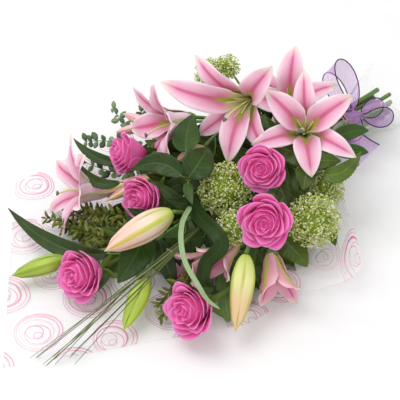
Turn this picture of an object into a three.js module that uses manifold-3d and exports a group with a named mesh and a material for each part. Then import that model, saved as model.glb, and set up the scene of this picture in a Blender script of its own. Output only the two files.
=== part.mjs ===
/**
 * A mixed bouquet of lilies, roses, green umbels and foliage, laid down on its printed film wrap.
 *
 * Millimetres, +Z up. +X runs along the bouquet from the flower heads to the cut stems, and the
 * film's underside lies at z = 0. The showy side looks half upwards, towards -X and -Y.
 */
import * as THREE from 'three';
import { ConvexGeometry } from 'three/addons/geometries/ConvexGeometry.js';
import { mergeVertices } from 'three/addons/utils/BufferGeometryUtils.js';
import Module from 'manifold-3d';

const wasm = await Module();
wasm.setup();

// ---------------------------------------------------------------- driving dimensions

/** Free space that every piece keeps to its neighbours. */
const GAP = 0.3;
/** Thickness of a petal, a leaf and the wrap. */
const PETAL = 0.9;
const LEAF = 0.8;
const SHEET = 0.7;
/** Vertices closer than this are one vertex. */
const WELD = 1e-3;
/** Flat detail below this depth is taken out of a finished node. */
const SMOOTH = 0.1;

/** The tie: centre of the stem bundle and the radii of what lies round it. */
const TIE = {
  x: 214,
  y: 3,
  z: 33,
  stems: 17.5,
  band: 19.8,
  bandWidth: 14,
  funnel: 120,
  slope: 0.25,
};
/** Where the longest stems are cut. */
const CUT_X = 300;
/** Distance between the stations at which the stems are laid side by side. */
const STATION = 9;
/** A stem bends at every so many stations and is straight between them. */
const BEND_EVERY = 6;

/** The bouquet's showy side: the way it looks, as seen from there its upper and its right side. */
const SHOW_TURN = THREE.MathUtils.degToRad(40);
const SHOW_RISE = THREE.MathUtils.degToRad(45);
const SHOW_RIGHT = new THREE.Vector3(Math.cos(SHOW_TURN), -Math.sin(SHOW_TURN), 0);
const SHOW_UP = new THREE.Vector3(
  Math.sin(SHOW_TURN) * Math.sin(SHOW_RISE),
  Math.cos(SHOW_TURN) * Math.sin(SHOW_RISE),
  Math.cos(SHOW_RISE),
);
const SHOW_OUT = new THREE.Vector3().crossVectors(SHOW_RIGHT, SHOW_UP);

const vec = (x, y, z) => new THREE.Vector3(x, y, z);
const clamp = THREE.MathUtils.clamp;
const smoothstep = THREE.MathUtils.smoothstep;
const { sin, cos, abs, min, max, hypot, sqrt, PI } = Math;

/** Direction that leans off the showy side by an angle in degrees, to its right and upwards. */
function facing(right, up, degrees) {
  const tilt = THREE.MathUtils.degToRad(degrees);
  const side = SHOW_RIGHT.clone().multiplyScalar(right).addScaledVector(SHOW_UP, up).normalize();
  return SHOW_OUT.clone().multiplyScalar(cos(tilt)).addScaledVector(side, sin(tilt));
}

/** Seeded random numbers from 0 to 1. */
function randomFrom(seed) {
  let state = seed >>> 0;
  return () => {
    state = (state + 0x6d2b79f5) >>> 0;
    let mixed = Math.imul(state ^ (state >>> 15), 1 | state);
    mixed = (mixed + Math.imul(mixed ^ (mixed >>> 7), 61 | mixed)) ^ mixed;
    return ((mixed ^ (mixed >>> 14)) >>> 0) / 4294967296;
  };
}

// ---------------------------------------------------------------- closed solids

/** Solid from corner points and triangles, turned right side out. */
function solidFrom(points, triangles) {
  let volume = 0;
  triangles.forEach(([a, b, c]) => {
    volume += points[a].dot(new THREE.Vector3().crossVectors(points[b], points[c])) / 6;
  });
  const facingOut = volume < 0 ? triangles.map(([a, b, c]) => [a, c, b]) : triangles;
  return new wasm.Manifold(new wasm.Mesh({
    numProp: 3,
    vertProperties: Float32Array.from(points.flatMap((point) => point.toArray())),
    triVerts: Uint32Array.from(facingOut.flat()),
  }));
}

/** Solid from one of the standard geometries. */
function solidOf(geometry) {
  geometry.deleteAttribute('normal');
  geometry.deleteAttribute('uv');
  const merged = mergeVertices(geometry, WELD);
  const places = merged.attributes.position;
  const points = [];
  for (let i = 0; i < places.count; i += 1) {
    points.push(vec().fromBufferAttribute(places, i));
  }
  const triangles = [];
  for (let i = 0; i < merged.index.count; i += 3) {
    const corners = [0, 1, 2].map((k) => merged.index.getX(i + k));
    if (new Set(corners).size === 3) {
      triangles.push(corners);
    }
  }
  return solidFrom(points, triangles);
}

/** Thin closed solid over a grid of points, split into triangles alike on both faces. */
function blade(pointAt, rows, columns, thickness, grow = 0) {
  const grid = [];
  for (let i = 0; i <= rows; i += 1) {
    const line = [];
    for (let j = 0; j <= columns; j += 1) {
      line.push(pointAt(i / rows, (2 * j) / columns - 1));
    }
    grid.push(line);
  }
  const at = (i, j) => grid[clamp(i, 0, rows)][clamp(j, 0, columns)];
  const widened = grid.map((line, i) => line.map((point, j) => {
    const outward = vec();
    if (i === 0 || i === rows) {
      outward.add(at(i, j).clone().sub(at(i === 0 ? 1 : rows - 1, j)).normalize());
    }
    if (j === 0 || j === columns) {
      outward.add(at(i, j).clone().sub(at(i, j === 0 ? 1 : columns - 1)).normalize());
    }
    return point.clone().addScaledVector(outward, grow);
  }));
  const points = [];
  const half = thickness / 2 + grow;
  [1, -1].forEach((side) => widened.forEach((line, i) => line.forEach((point, j) => {
    const along = at(i + 1, j).clone().sub(at(i - 1, j));
    const across = at(i, j + 1).clone().sub(at(i, j - 1));
    points.push(point.clone().addScaledVector(along.cross(across).normalize(), side * half));
  })));
  const width = columns + 1;
  const under = (rows + 1) * width;
  const triangles = [];
  for (let i = 0; i < rows; i += 1) {
    for (let j = 0; j < columns; j += 1) {
      const a = i * width + j;
      const [b, c, d] = [a + width, a + width + 1, a + 1];
      triangles.push([a, b, c], [a, c, d]);
      triangles.push([under + a, under + c, under + b], [under + a, under + d, under + c]);
    }
  }
  const rim = [];
  for (let j = 0; j < columns; j += 1) rim.push(j);
  for (let i = 0; i < rows; i += 1) rim.push(i * width + columns);
  for (let j = columns; j > 0; j -= 1) rim.push(rows * width + j);
  for (let i = rows; i > 0; i -= 1) rim.push(i * width);
  rim.forEach((a, k) => {
    const b = rim[(k + 1) % rim.length];
    triangles.push([a, b, under + b], [a, under + b, under + a]);
  });
  return solidFrom(points, triangles);
}

/** Closed solid through rings of equal count, with a point at each end. */
function loft(first, rings, last, grow = 0) {
  const count = rings[0].length;
  const points = [];
  const axis = last.clone().sub(first).normalize();
  points.push(first.clone().addScaledVector(axis, -grow));
  rings.forEach((ring) => {
    const middle = ring.reduce((sum, point) => sum.add(point), vec()).divideScalar(count);
    ring.forEach((point) => {
      points.push(point.clone().addScaledVector(point.clone().sub(middle).normalize(), grow));
    });
  });
  points.push(last.clone().addScaledVector(axis, grow));
  const triangles = [];
  for (let k = 0; k < count; k += 1) {
    const next = (k + 1) % count;
    triangles.push([0, 1 + next, 1 + k]);
    for (let i = 0; i + 1 < rings.length; i += 1) {
      const a = 1 + i * count;
      const b = a + count;
      triangles.push([a + k, a + next, b + next], [a + k, b + next, b + k]);
    }
    const end = 1 + (rings.length - 1) * count;
    triangles.push([end + k, end + next, points.length - 1]);
  }
  return solidFrom(points, triangles);
}

/** Small pointed leaf or scale: a flat diamond with a raised middle, eight triangles. */
function scale(root, tip, width, thickness, up, grow = 0) {
  const along = tip.clone().sub(root);
  const side = along.clone().cross(up).normalize();
  const lift = side.clone().cross(along).normalize();
  const middle = root.clone().addScaledVector(along, 0.55);
  const reach = along.clone().normalize();
  const points = [
    root.clone().addScaledVector(reach, -grow),
    middle.clone().addScaledVector(side, width / 2 + grow),
    tip.clone().addScaledVector(reach, grow),
    middle.clone().addScaledVector(side, -width / 2 - grow),
    middle.clone().addScaledVector(lift, thickness / 2 + grow),
    middle.clone().addScaledVector(lift, -thickness / 2 - grow),
  ];
  const triangles = [];
  for (let k = 0; k < 4; k += 1) {
    const next = (k + 1) % 4;
    triangles.push([k, next, 4], [next, k, 5]);
  }
  return solidFrom(points, triangles);
}

/** Largest body of a solid, without loose scraps. */
function largest(solid) {
  const bodies = solid.decompose();
  return bodies.reduce((best, body) => (body.volume() > best.volume() ? body : best));
}

/** Directions of a flower: z out of it, y upwards on the showy side, x to the right. */
function flowerFrame(origin, axis, turn = 0) {
  const z = axis.clone().normalize();
  const y = SHOW_UP.clone().addScaledVector(z, -SHOW_UP.dot(z)).normalize();
  const x = new THREE.Vector3().crossVectors(y, z);
  const place = new THREE.Matrix4().makeBasis(x, y, z).setPosition(origin);
  return place.multiply(new THREE.Matrix4().makeRotationZ(turn));
}

// ---------------------------------------------------------------- the growing bouquet

const nodes = new Map();
const claimed = [];

const boxesMeet = (a, b) => [0, 1, 2].every((k) => a.min[k] <= b.max[k] && b.min[k] <= a.max[k]);

/**
 * Adds solids to a node. What is already placed in other nodes keeps its shape and a gap, and
 * the newcomer is cut clear of it, or of the simpler shape around it.
 */
function plant(name, material, build, around = () => build(GAP)) {
  let solid = wasm.Manifold.union(build(0));
  const box = solid.boundingBox();
  claimed.forEach((other) => {
    if (other.name !== name && boxesMeet(box, other.box)) {
      solid = solid.subtract(other.solid);
    }
  });
  const clearance = wasm.Manifold.union(around());
  claimed.push({ name, solid: clearance, box: clearance.boundingBox() });
  const node = nodes.get(name) ?? { material, solids: [] };
  node.solids.push(solid);
  nodes.set(name, node);
}

// ---------------------------------------------------------------- materials

const paint = (color, roughness = 0.6) => new THREE.MeshStandardMaterial({
  color,
  roughness,
  metalness: 0,
});
const FINISH = {
  rose: paint('#dd5ba0'),
  lily: paint('#dc94b2', 0.55),
  bud: paint('#dfd0a0', 0.5),
  stamen: paint('#c3c46a'),
  roseGreen: paint('#4d6a1c', 0.5),
  lilyGreen: paint('#3c5f26', 0.45),
  salal: paint('#2f5229', 0.4),
  umbel: paint('#a9bc52', 0.8),
  strap: paint('#2c4a24', 0.4),
  strip: paint('#8fa878', 0.5),
  matteLeaf: paint('#6c8a50', 0.7),
  eucalyptus: paint('#5a7a58', 0.7),
  filler: paint('#6e7c28', 0.7),
  band: paint('#c9b88a', 0.8),
  film: paint('#f6dbe8', 0.15),
  ribbon: paint('#cfa6dc', 0.35),
};

// ---------------------------------------------------------------- places of the flowers

const ROSES = [
  { at: vec(-65, 97, 78), axis: facing(-1, 0.1, 62), radius: 26, height: 44, turn: 0.2 },
  { at: vec(-88, 37, 64), axis: facing(-0.9, -0.35, 38), radius: 27, height: 44, turn: 1.1 },
  { at: vec(-203, 6, 36), axis: facing(-1, -0.3, 38), radius: 31, height: 46, turn: 2.0 },
  { at: vec(-143, -119, 42), axis: facing(-1, -0.2, 36), radius: 31, height: 46, turn: 0.6 },
  { at: vec(22, -50, 108), axis: facing(-0.8, -0.4, 16), radius: 28, height: 44, turn: 1.7 },
  { at: vec(-30, -112, 104), axis: facing(-0.6, -0.7, 16), radius: 31, height: 46, turn: 2.6 },
];

/** Tepals: direction in the flower's face in degrees, length, opening at the throat and the tip. */
const LILIES = {
  lily_1: {
    throat: vec(53, 26, 140),
    axis: facing(-0.7, -0.5, 26),
    depth: 42,
    tepals: [[128, 112, 1], [157, 138, 0], [44, 96, 0], [-62, 100, 1], [-104, 104, 0], [-148, 96, 1]],
  },
  lily_2: {
    throat: vec(93, -44, 125),
    axis: facing(-0.1, 0.1, 8),
    depth: 40,
    tepals: [[91, 98, 1], [136, 94, 0], [33, 98, 0], [-30, 98, 1], [-82, 88, 0], [-162, 92, 1]],
  },
  lily_3: {
    throat: vec(134, 27, 96),
    axis: facing(-0.3, 0.5, 18),
    depth: 38,
    tepals: [[82, 104, 0], [135, 88, 1], [20, 92, 1], [-40, 80, 0], [-105, 78, 1], [172, 84, 0]],
  },
};

/** Narrow flowers: base, axis, and how far the tepals open. */
const TRUMPETS = {
  lily_4: {
    base: vec(-99, 90, 40),
    axis: facing(-1, 0.12, 66),
    length: 96,
    open: 0.8,
    angles: [95, 150, 35, -25, -85, -150],
  },
  lily_5: {
    base: vec(23, 81, 99),
    axis: facing(-1, -0.25, 62),
    length: 88,
    open: 0.7,
    angles: [60, 120, 180, -120, -60, 0],
  },
  lily_6: {
    base: vec(-38, -80, 50),
    axis: facing(-0.75, -0.65, 62),
    length: 64,
    open: 0.25,
    angles: [90, 210, 330],
  },
  lily_7: {
    base: vec(-20, -113, 46),
    axis: facing(0.15, -1, 66),
    length: 66,
    open: 0.22,
    angles: [60, 150, 240, 330],
  },
  lily_8: {
    base: vec(-65, -61, 33),
    axis: facing(-0.9, -0.5, 62),
    length: 62,
    open: 0.3,
    angles: [90, 210, 330],
  },
};

/** Closed buds: base, tip and width, and for a pair the tip of the second one. */
const BUDS = {
  bud_1: { base: vec(-93, -22, 88), tips: [vec(-180, -4, 66)], width: 36 },
  bud_2: { base: vec(-202, 46, 27), tips: [vec(-263, 72, 18)], width: 25 },
  bud_3: { base: vec(-150, -44, 32), tips: [vec(-211, -77, 17)], width: 25 },
  bud_4: { base: vec(-62, -115, 72), tips: [vec(-121, -165, 26)], width: 29 },
  bud_5: { base: vec(-55, 65, 58), tips: [vec(-125, 87, 54), vec(-123, 73, 51)], width: 15 },
  bud_6: { base: vec(9, 43, 84), tips: [vec(-34, 46, 84)], width: 17 },
  bud_7: { base: vec(2, 138, 60), tips: [vec(-43, 158, 60), vec(-16, 178, 64)], width: 15 },
};

/** Green umbels: heads of tiny florets, each with its centre, radius and number of florets. */
const UMBELS = {
  umbel_1: [[vec(-10, -20, 70), 31, 50]],
  umbel_2: [[vec(-47, -75, 73), 20, 30]],
  umbel_3: [[vec(42, -118, 60), 30, 40], [vec(90, -90, 60), 21, 22], [vec(34, -60, 68), 15, 14]],
  umbel_4: [[vec(92, 128, 104), 20, 28], [vec(112, 118, 112), 15, 16]],
};

/** Where three leaflets of one rose leaf meet, and where the long lily leaf grows from. */
const LEAFLETS = vec(80, -63, 93);
const LONG_LEAF = vec(-148, 2, 36);
/**
 * Broad leaves: root, middle and tip of the midrib, width, the edge they have, and the joint
 * their stalk starts from where that is not the stem itself.
 */
const leaf = (root, middle, tip, width, edge = 'plain', joint = null) => (
  { root, middle, tip, width, edge, joint }
);
const LEAVES = {
  lily_stem_2: [
    leaf(vec(-57, 120, 42), vec(-78, 155, 40), vec(-74, 210, 32), 14),
    leaf(vec(-99, 74, 68), vec(-121, 97, 68), vec(-111, 155, 62), 14),
    leaf(vec(-91, 59, 30), vec(-115, 63, 28), vec(-143, 57, 22), 24),
  ],
  lily_stem_3: [
    leaf(vec(-12, 16, 62), vec(-39, 28, 62), vec(-66, 42, 54), 24),
    leaf(vec(10, 100, 62), vec(-28, 104, 56), vec(-60, 124, 46), 22),
  ],
  lily_stem_4: [
    leaf(vec(-164, 14, 36), vec(-200, 69, 31), vec(-205, 167, 20), 22, 'plain', LONG_LEAF),
    leaf(vec(-60, -40, 40), vec(-91, -31, 38), vec(-127, -18, 32), 28),
  ],
  lily_stem_5: [
    leaf(vec(-27, -98, 34), vec(-25, -111, 32), vec(-26, -124, 24), 14),
    leaf(vec(-39, -106, 26), vec(-41, -121, 22), vec(-47, -136, 14), 16),
  ],
  salal_1: [
    leaf(vec(-51, 12, 94), vec(-62, 42, 100), vec(-90, 58, 94), 27),
    leaf(vec(-47, 4, 96), vec(-28, 8, 106), vec(2, 27, 98), 38),
    leaf(vec(-28, 32, 106), vec(-13, 50, 110), vec(19, 78, 108), 34),
    leaf(vec(-51, 1, 92), vec(-61, -12, 92), vec(-68, -28, 88), 12),
  ],
  salal_2: [
    leaf(vec(-111, 0, 52), vec(-146, -16, 44), vec(-179, -26, 30), 38),
    leaf(vec(-84, -33, 56), vec(-96, -28, 58), vec(-110, -20, 54), 10),
  ],
  salal_3: [
    leaf(vec(42, -24, 92), vec(62, -3, 104), vec(92, 24, 104), 22),
    leaf(vec(30, -22, 80), vec(30, -4, 88), vec(34, 18, 88), 24),
    leaf(vec(137, -48, 84), vec(162, -57, 90), vec(188, -65, 82), 20),
    leaf(vec(123, -70, 86), vec(139, -84, 90), vec(157, -94, 84), 18),
  ],
  rose_stem_3: [
    leaf(vec(-138, 16, 18), vec(-158, 16, 12), vec(-184, 8, 7), 24),
  ],
  rose_stem_5: [
    leaf(vec(77, -63, 94), vec(73, -38, 98), vec(69, -6, 88), 28, 'toothed'),
    leaf(vec(83, -71, 97), vec(92, -83, 102), vec(110, -92, 96), 20, 'toothed', LEAFLETS),
    leaf(vec(73, -72, 92), vec(62, -81, 92), vec(50, -90, 84), 28, 'toothed', LEAFLETS),
    leaf(vec(82, -92, 92), vec(100, -106, 96), vec(142, -94, 94), 22, 'toothed'),
  ],
  rose_stem_6: [
    leaf(vec(20, -88, 21), vec(19, -113, 21), vec(17, -138, 13), 36, 'toothed'),
    leaf(vec(72, -98, 30), vec(66, -122, 32), vec(59, -142, 24), 22, 'toothed'),
  ],
};

/** Long narrow leaves and sprigs: the places they pass after the start of their stem. */
const STRAP = [
  vec(-62, -30, 70), vec(-74, -75, 84), vec(-79, -91, 77), vec(-98, -88, 60),
  vec(-110, -98, 46), vec(-104, -114, 34),
];
const STRIP = [
  vec(-70, -24, 80), vec(-99, -47, 94), vec(-119, -69, 93), vec(-133, -94, 90),
  vec(-144, -127, 93), vec(-145, -145, 84), vec(-139, -159, 76),
];
const FOLDED = [vec(-72, -90, 10), vec(-90, -114, 8), vec(-107, -138, 7)];
/** Grass blades: where they pass on the way, and their tips. */
const GRASS_BLADES = [
  [vec(-154, -55, 65), vec(-309, -37, 3)],
  [vec(-156, -59, 61), vec(-300, -47, 4)],
  [vec(-151, -63, 61), vec(-269, -64, 3)],
  [vec(-153, -51, 57), vec(-286, -50, 7)],
];
const SPRIGS = {
  eucalyptus_1: [
    [vec(0, 157, 50), vec(-16, 177, 48), vec(-9, 209, 50)],
    [vec(5, 160, 60), vec(17, 180, 66)],
  ],
  eucalyptus_2: [
    [vec(-30, 142, 44), vec(-53, 171, 42), vec(-70, 190, 38)],
    [vec(-50, 118, 24), vec(-68, 136, 22), vec(-84, 176, 20)],
  ],
  filler_1: [
    [vec(-132, 42, 24), vec(-162, 70, 22), vec(-170, 105, 20)],
    [vec(-136, 34, 18), vec(-166, 44, 18), vec(-190, 78, 16)],
  ],
  filler_2: [
    [vec(-104, -68, 16), vec(-138, -84, 16), vec(-166, -86, 15)],
    [vec(-98, -78, 15), vec(-128, -98, 15)],
  ],
};

// ---------------------------------------------------------------- stems side by side

const rose = ROSES.map(({ at, axis, radius, height, turn }) => ({
  base: at.clone().addScaledVector(axis, -0.5 * height),
  at,
  axis,
  radius,
  height,
  turn,
}));

/** Stems: where each begins below its flower, the way it leaves it, its radius and its sides. */
const STARTS = {};
rose.forEach(({ base, axis }, i) => {
  STARTS[`rose_stem_${i + 1}`] = {
    from: base.clone().addScaledVector(axis, -6),
    lean: axis.clone().negate(),
    radius: 2.5,
    sides: 4,
  };
});
const start = (from, lean, radius, sides) => ({ from, lean: lean.normalize(), radius, sides });
Object.assign(STARTS, {
  lily_stem_1: start(vec(166, 10, 53), vec(1, -0.1, -0.3), 3.4, 5),
  lily_stem_2: start(vec(-56, 74, 44), vec(1, -0.2, 0), 3, 5),
  lily_stem_3: start(vec(56, 80, 72), vec(1, -0.4, -0.3), 3, 5),
  lily_stem_4: start(vec(-118, -12, 44), vec(1, 0, 0.1), 3, 5),
  lily_stem_5: start(vec(-2, -76, 48), vec(1, 0.4, -0.1), 3, 5),
  umbel_1: start(vec(20, -8, 48), vec(1, 0.1, -0.3), 1.8, 4),
  umbel_2: start(vec(-14, -52, 52), vec(1, 0.3, -0.1), 1.8, 4),
  umbel_3: start(vec(84, -58, 40), vec(1, 0.3, -0.1), 1.8, 4),
  umbel_4: start(vec(128, 84, 66), vec(1, -0.6, -0.3), 1.8, 4),
  salal_1: start(vec(-46, 10, 86), vec(1, 0, -0.5), 1.5, 4),
  salal_2: start(vec(-84, 4, 34), vec(1, 0, 0), 1.5, 4),
  salal_3: start(vec(56, -14, 80), vec(1, 0, -0.3), 1.5, 4),
  eucalyptus_1: start(vec(30, 128, 42), vec(1, -0.5, -0.1), 1.1, 3),
  eucalyptus_2: start(vec(-14, 106, 38), vec(1, -0.5, 0), 1.1, 3),
  filler_1: start(vec(-96, 30, 20), vec(1, -0.1, 0), 1.1, 3),
  filler_2: start(vec(-68, -54, 10), vec(1, 0.1, 0), 1.1, 3),
  strap_leaf: start(vec(-38, 5, 62), vec(1, 0.1, -0.3), 1.6, 4),
  strip_leaf: start(vec(-56, -4, 54), vec(1, 0.1, -0.1), 1.2, 3),
  folded_leaf: start(vec(-48, -62, 10), vec(1, 0.2, 0), 1.2, 3),
  grass: start(vec(-36, -24, 42), vec(1, 0.1, -0.1), 1.8, 4),
});

/** Flowers that no stem runs through. */
const OBSTACLES = [
  ...Object.values(TRUMPETS).map(({ base, axis, length }) => ({
    own: '',
    at: base.clone().addScaledVector(axis, 0.45 * length),
    radius: 0.26 * length,
  })),
  ...Object.entries(UMBELS).flatMap(([own, heads]) => (
    heads.map(([at, radius]) => ({ own, at, radius: 0.85 * radius }))
  )),
  ...rose.map(({ at, radius }, i) => ({ own: `rose_stem_${i + 1}`, at, radius: radius + 2 })),
  ...Object.values(BUDS).map(({ base, tips, width }) => ({
    own: '',
    at: base.clone().add(tips[0]).multiplyScalar(0.5),
    radius: width / 2 + 2,
  })),
];

/** Moves point (y, z) away from (cy, cz) until it is at least `reach` away. */
function pushOut(point, cy, cz, reach) {
  const gap = hypot(point.y - cy, point.z - cz) || 1e-3;
  if (gap < reach) {
    point.y += ((point.y - cy) / gap) * (reach - gap);
    point.z += ((point.z - cz) / gap) * (reach - gap);
  }
}

/** Lines of all the stems from flower to cut end, none through another, all through the tie. */
function layStems() {
  const stems = Object.entries(STARTS).map(([name, { from, lean, radius }], index) => {
    const slotY = TIE.y + clamp(0.12 * (from.y - TIE.y), -12, 12);
    const slotZ = TIE.z + clamp(0.25 * (from.z - 60), -10, 12);
    const span = TIE.x - from.x;
    const strongest = 150 / span;
    const slopeY = clamp(lean.y / max(lean.x, 0.2), -strongest, strongest);
    const slopeZ = clamp(lean.z / max(lean.x, 0.2), -strongest, strongest);
    const points = [];
    const cut = CUT_X - 7 * (index % 4);
    for (let x = (Math.floor(from.x / STATION) + 1.6) * STATION; x < cut; x += STATION) {
      const t = min(1, (x - from.x) / span);
      const settle = t * t * (3 - 2 * t);
      const bend = t * (1 - t) * (1 - t) * span;
      const spread = 1 + 0.008 * max(0, x - TIE.x);
      const station = vec(Math.round(x / STATION) * STATION, 0, 0);
      station.y = TIE.y + (from.y + (slotY - from.y) * settle + bend * slopeY - TIE.y) * spread;
      station.z = TIE.z + (from.z + (slotZ - from.z) * settle + bend * slopeZ - TIE.z) * spread;
      points.push(station);
    }
    return { name, radius, points };
  });
  const rounds = 160;
  for (let round = 0; round < rounds; round += 1) {
    stems.forEach((one, i) => one.points.forEach((point) => {
      stems.slice(i + 1).forEach((other) => {
        const near = other.points.find(({ x }) => x === point.x);
        if (!near) return;
        const reach = 1.12 * (one.radius + other.radius) + 1.2;
        const gap = hypot(point.y - near.y, point.z - near.z) || 1e-3;
        if (gap < reach) {
          const push = (reach - gap) / 2 / gap;
          const [dy, dz] = [(point.y - near.y) * push, (point.z - near.z) * push];
          point.y += dy;
          point.z += dz;
          near.y -= dy;
          near.z -= dz;
        }
      });
    }));
    stems.forEach(({ name, radius, points }) => points.forEach((point, k) => {
      OBSTACLES.forEach((ball) => {
        const across = ball.radius ** 2 - (point.x - ball.at.x) ** 2;
        if (ball.own !== name && across > 0) {
          pushOut(point, ball.at.y, ball.at.z, sqrt(across) + radius);
        }
      });
      if (point.x > TIE.x - TIE.funnel && point.x < TIE.x + 1.5 * STATION) {
        const reach = hypot(point.y - TIE.y, point.z - TIE.z);
        const opening = TIE.slope * max(0, TIE.x - STATION - point.x);
        const limit = TIE.stems + opening - 1.1 * radius;
        if (reach > limit) {
          point.y = TIE.y + ((point.y - TIE.y) * limit) / reach;
          point.z = TIE.z + ((point.z - TIE.z) * limit) / reach;
        }
      }
      point.z = max(point.z, radius + 3);
      if (round < rounds - 60 && k > 0 && k < points.length - 1) {
        point.y += 0.2 * ((points[k - 1].y + points[k + 1].y) / 2 - point.y);
        point.z += 0.2 * ((points[k - 1].z + points[k + 1].z) / 2 - point.z);
      }
    }));
  }
  const kept = (point, k, all) => k % BEND_EVERY === 0 || k === all.length - 1
    || abs(point.x - TIE.x) < STATION / 2;
  return Object.fromEntries(stems.map(({ name, points }) => [name, points.filter(kept)]));
}
const lines = layStems();

/** Stem along points, with rings square to its line, each of its own radius. */
function stemSolid(points, radiusAt, sides, grow) {
  const rings = points.map((point, i) => {
    const along = points[min(i + 1, points.length - 1)].clone().sub(points[max(i - 1, 0)]);
    const up = SHOW_OUT.clone().addScaledVector(along, -SHOW_OUT.dot(along) / along.lengthSq());
    const side = along.normalize().clone().cross(up.normalize());
    const ring = [];
    for (let k = 0; k < sides; k += 1) {
      const angle = (2 * PI * (k + 0.5)) / sides;
      ring.push(point.clone().addScaledVector(side, radiusAt(i) * cos(angle))
        .addScaledVector(up, radiusAt(i) * sin(angle)));
    }
    return ring;
  });
  return loft(points[0], rings, points.at(-1), grow);
}

/** The whole stem of a node, from its start to its cut end. */
function ownStem(name, grow) {
  const { from, radius, sides } = STARTS[name];
  return stemSolid([from, ...lines[name]], () => radius, sides, grow);
}

/** Point of a stem's line nearest to one that lies `ahead` of a place towards the tie. */
function joinOn(name, place, ahead) {
  const target = place.clone().add(vec(ahead, 0, 0));
  const line = [STARTS[name].from, ...lines[name]];
  let best = line[0];
  for (let k = 0; k + 1 < line.length; k += 1) {
    const near = new THREE.Line3(line[k], line[k + 1]).closestPointToPoint(target, true, vec());
    if (near.distanceTo(target) < best.distanceTo(target)) {
      best = near;
    }
  }
  return best;
}

/** Short stalk from a flower or a leaf to a stem. */
function stalk(name, from, radius, ahead, grow, lean = vec()) {
  const end = joinOn(name, from, ahead);
  const middle = from.clone().lerp(end, 0.5).addScaledVector(lean, 0.25 * from.distanceTo(end));
  return stemSolid([from, middle, end], () => radius, 4, grow);
}

// ---------------------------------------------------------------- roses

const GOLDEN_ANGLE = PI * (3 - sqrt(5));
/** Outer petals of a rose, and how far they reach round it, rise and curl back, as shares. */
const GUARD = { petals: 5, rise: 0.8, span: 0.84, curl: 0.2 };
/**
 * Heart of a rose from outside to its middle: rims and the valleys between the petals, each
 * with its radius and height as shares, and how deep its petals are notched.
 */
const HEART = [
  { reach: 0.36, rise: 0.02, notch: 0 },
  { reach: 0.7, rise: 0.6, notch: 0.07 },
  { reach: 0.72, rise: 0.93, notch: 0.1 },
  { reach: 0.52, rise: 0.62, notch: 0.05 },
  { reach: 0.44, rise: 0.98, notch: 0.08 },
  { reach: 0.27, rise: 0.72, notch: 0.04 },
  { reach: 0.19, rise: 1, notch: 0.04 },
];

/** Point of an outer petal: v from root to rim, u from one side to the other. */
function guardPetal({ radius, height }, middle, v, u) {
  const top = v * (1 - 0.2 * u * u);
  const bulge = sqrt(1 - (1 - top) ** 2);
  const curl = max(0, top - 0.7) ** 2 * GUARD.curl * 8;
  const reach = radius * ((0.2 + 0.8 * bulge) * (1 + 0.14 * u) + curl);
  const angle = middle + u * GUARD.span * (0.4 + 0.6 * sin(PI * (0.1 + 0.62 * v)));
  const rise = 0.04 + GUARD.rise * top - 0.5 * curl;
  return vec(reach * cos(angle), reach * sin(angle), height * rise);
}

/** Heart of a rose: three petals to a layer, each layer turned against the last. */
function roseHeart({ radius, height }, grow) {
  const sides = 9;
  const rings = HEART.map(({ reach, rise, notch }, level) => {
    const ring = [];
    for (let k = 0; k < sides; k += 1) {
      const overlap = ((k + level) % 3) - 1;
      const angle = (2 * PI * k) / sides + 0.12 * level;
      const r = radius * (reach + notch * overlap) + grow;
      ring.push(vec(r * cos(angle), r * sin(angle), height * (rise - 0.4 * notch * overlap)));
    }
    return ring;
  });
  return loft(vec(0, 0, -0.03 * height), rings, vec(0, 0, 0.86 * height), grow);
}

function roseBloom(bloom, grow) {
  const place = flowerFrame(bloom.base, bloom.axis, bloom.turn);
  const pieces = [roseHeart(bloom, grow).transform(place.elements)];
  for (let k = 0; k < GUARD.petals; k += 1) {
    const middle = (2 * PI * k) / GUARD.petals;
    const at = (v, u) => guardPetal(bloom, middle, v, u).applyMatrix4(place);
    pieces.push(blade(at, 3, 2, PETAL, grow));
  }
  return pieces;
}

/** Plain bowl round a whole rose. */
function roseBowl({ base, axis, radius, height }) {
  const place = flowerFrame(base, axis);
  const outline = [
    [0, -0.05], [0.42, -0.04], [0.8, 0.1], [1.12, 0.4], [1.26, 0.72], [1.16, 0.86], [0.8, 1.04], [0, 1.04],
  ].map(([r, z]) => new THREE.Vector2(r * radius, z * height));
  return [solidOf(new THREE.LatheGeometry(outline, 10).rotateX(PI / 2)).transform(place.elements)];
}

/** Hip and five sepals under a rose. */
function roseHip({ base, axis, turn, radius }, grow) {
  const place = flowerFrame(base, axis, turn);
  const profile = [[0, -9], [2.6, -8], [5.4, -4.6], [5, -1.8], [0, -1.8]];
  const outline = profile.map(([r, z]) => new THREE.Vector2(r && r + grow, z));
  const pieces = [solidOf(new THREE.LatheGeometry(outline, 6).rotateX(PI / 2))
    .transform(place.elements)];
  for (let k = 0; k < 5; k += 1) {
    const angle = (2 * PI * k) / 5;
    const root = vec(2 * cos(angle), 2 * sin(angle), -4).applyMatrix4(place);
    const tip = vec(0.8 * radius * cos(angle), 0.8 * radius * sin(angle), -7).applyMatrix4(place);
    pieces.push(scale(root, tip, 8, 1.4, axis, grow));
  }
  return pieces;
}

// ---------------------------------------------------------------- lilies

/** Length, width and outward shift of the two kinds of tepal, petals first. */
const TEPALS = [{ width: 38, shift: 0 }, { width: 29, shift: 4.4 }];
const THROAT_ANGLE = 16;

/** Middle line of a tepal: its distance from the flower's axis and its height, step by step. */
function tepalLine(length, opening, root) {
  const steps = 24;
  const line = [{ r: root, z: 0, lean: THREE.MathUtils.degToRad(THROAT_ANGLE) }];
  for (let k = 1; k <= steps; k += 1) {
    const share = smoothstep(k / steps, 0.18, 1);
    const lean = THREE.MathUtils.degToRad(THROAT_ANGLE + (opening - THROAT_ANGLE) * share);
    const last = line[k - 1];
    const step = length / steps;
    line.push({ r: last.r + step * sin(lean), z: last.z + step * cos(lean), lean });
  }
  return line;
}

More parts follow.
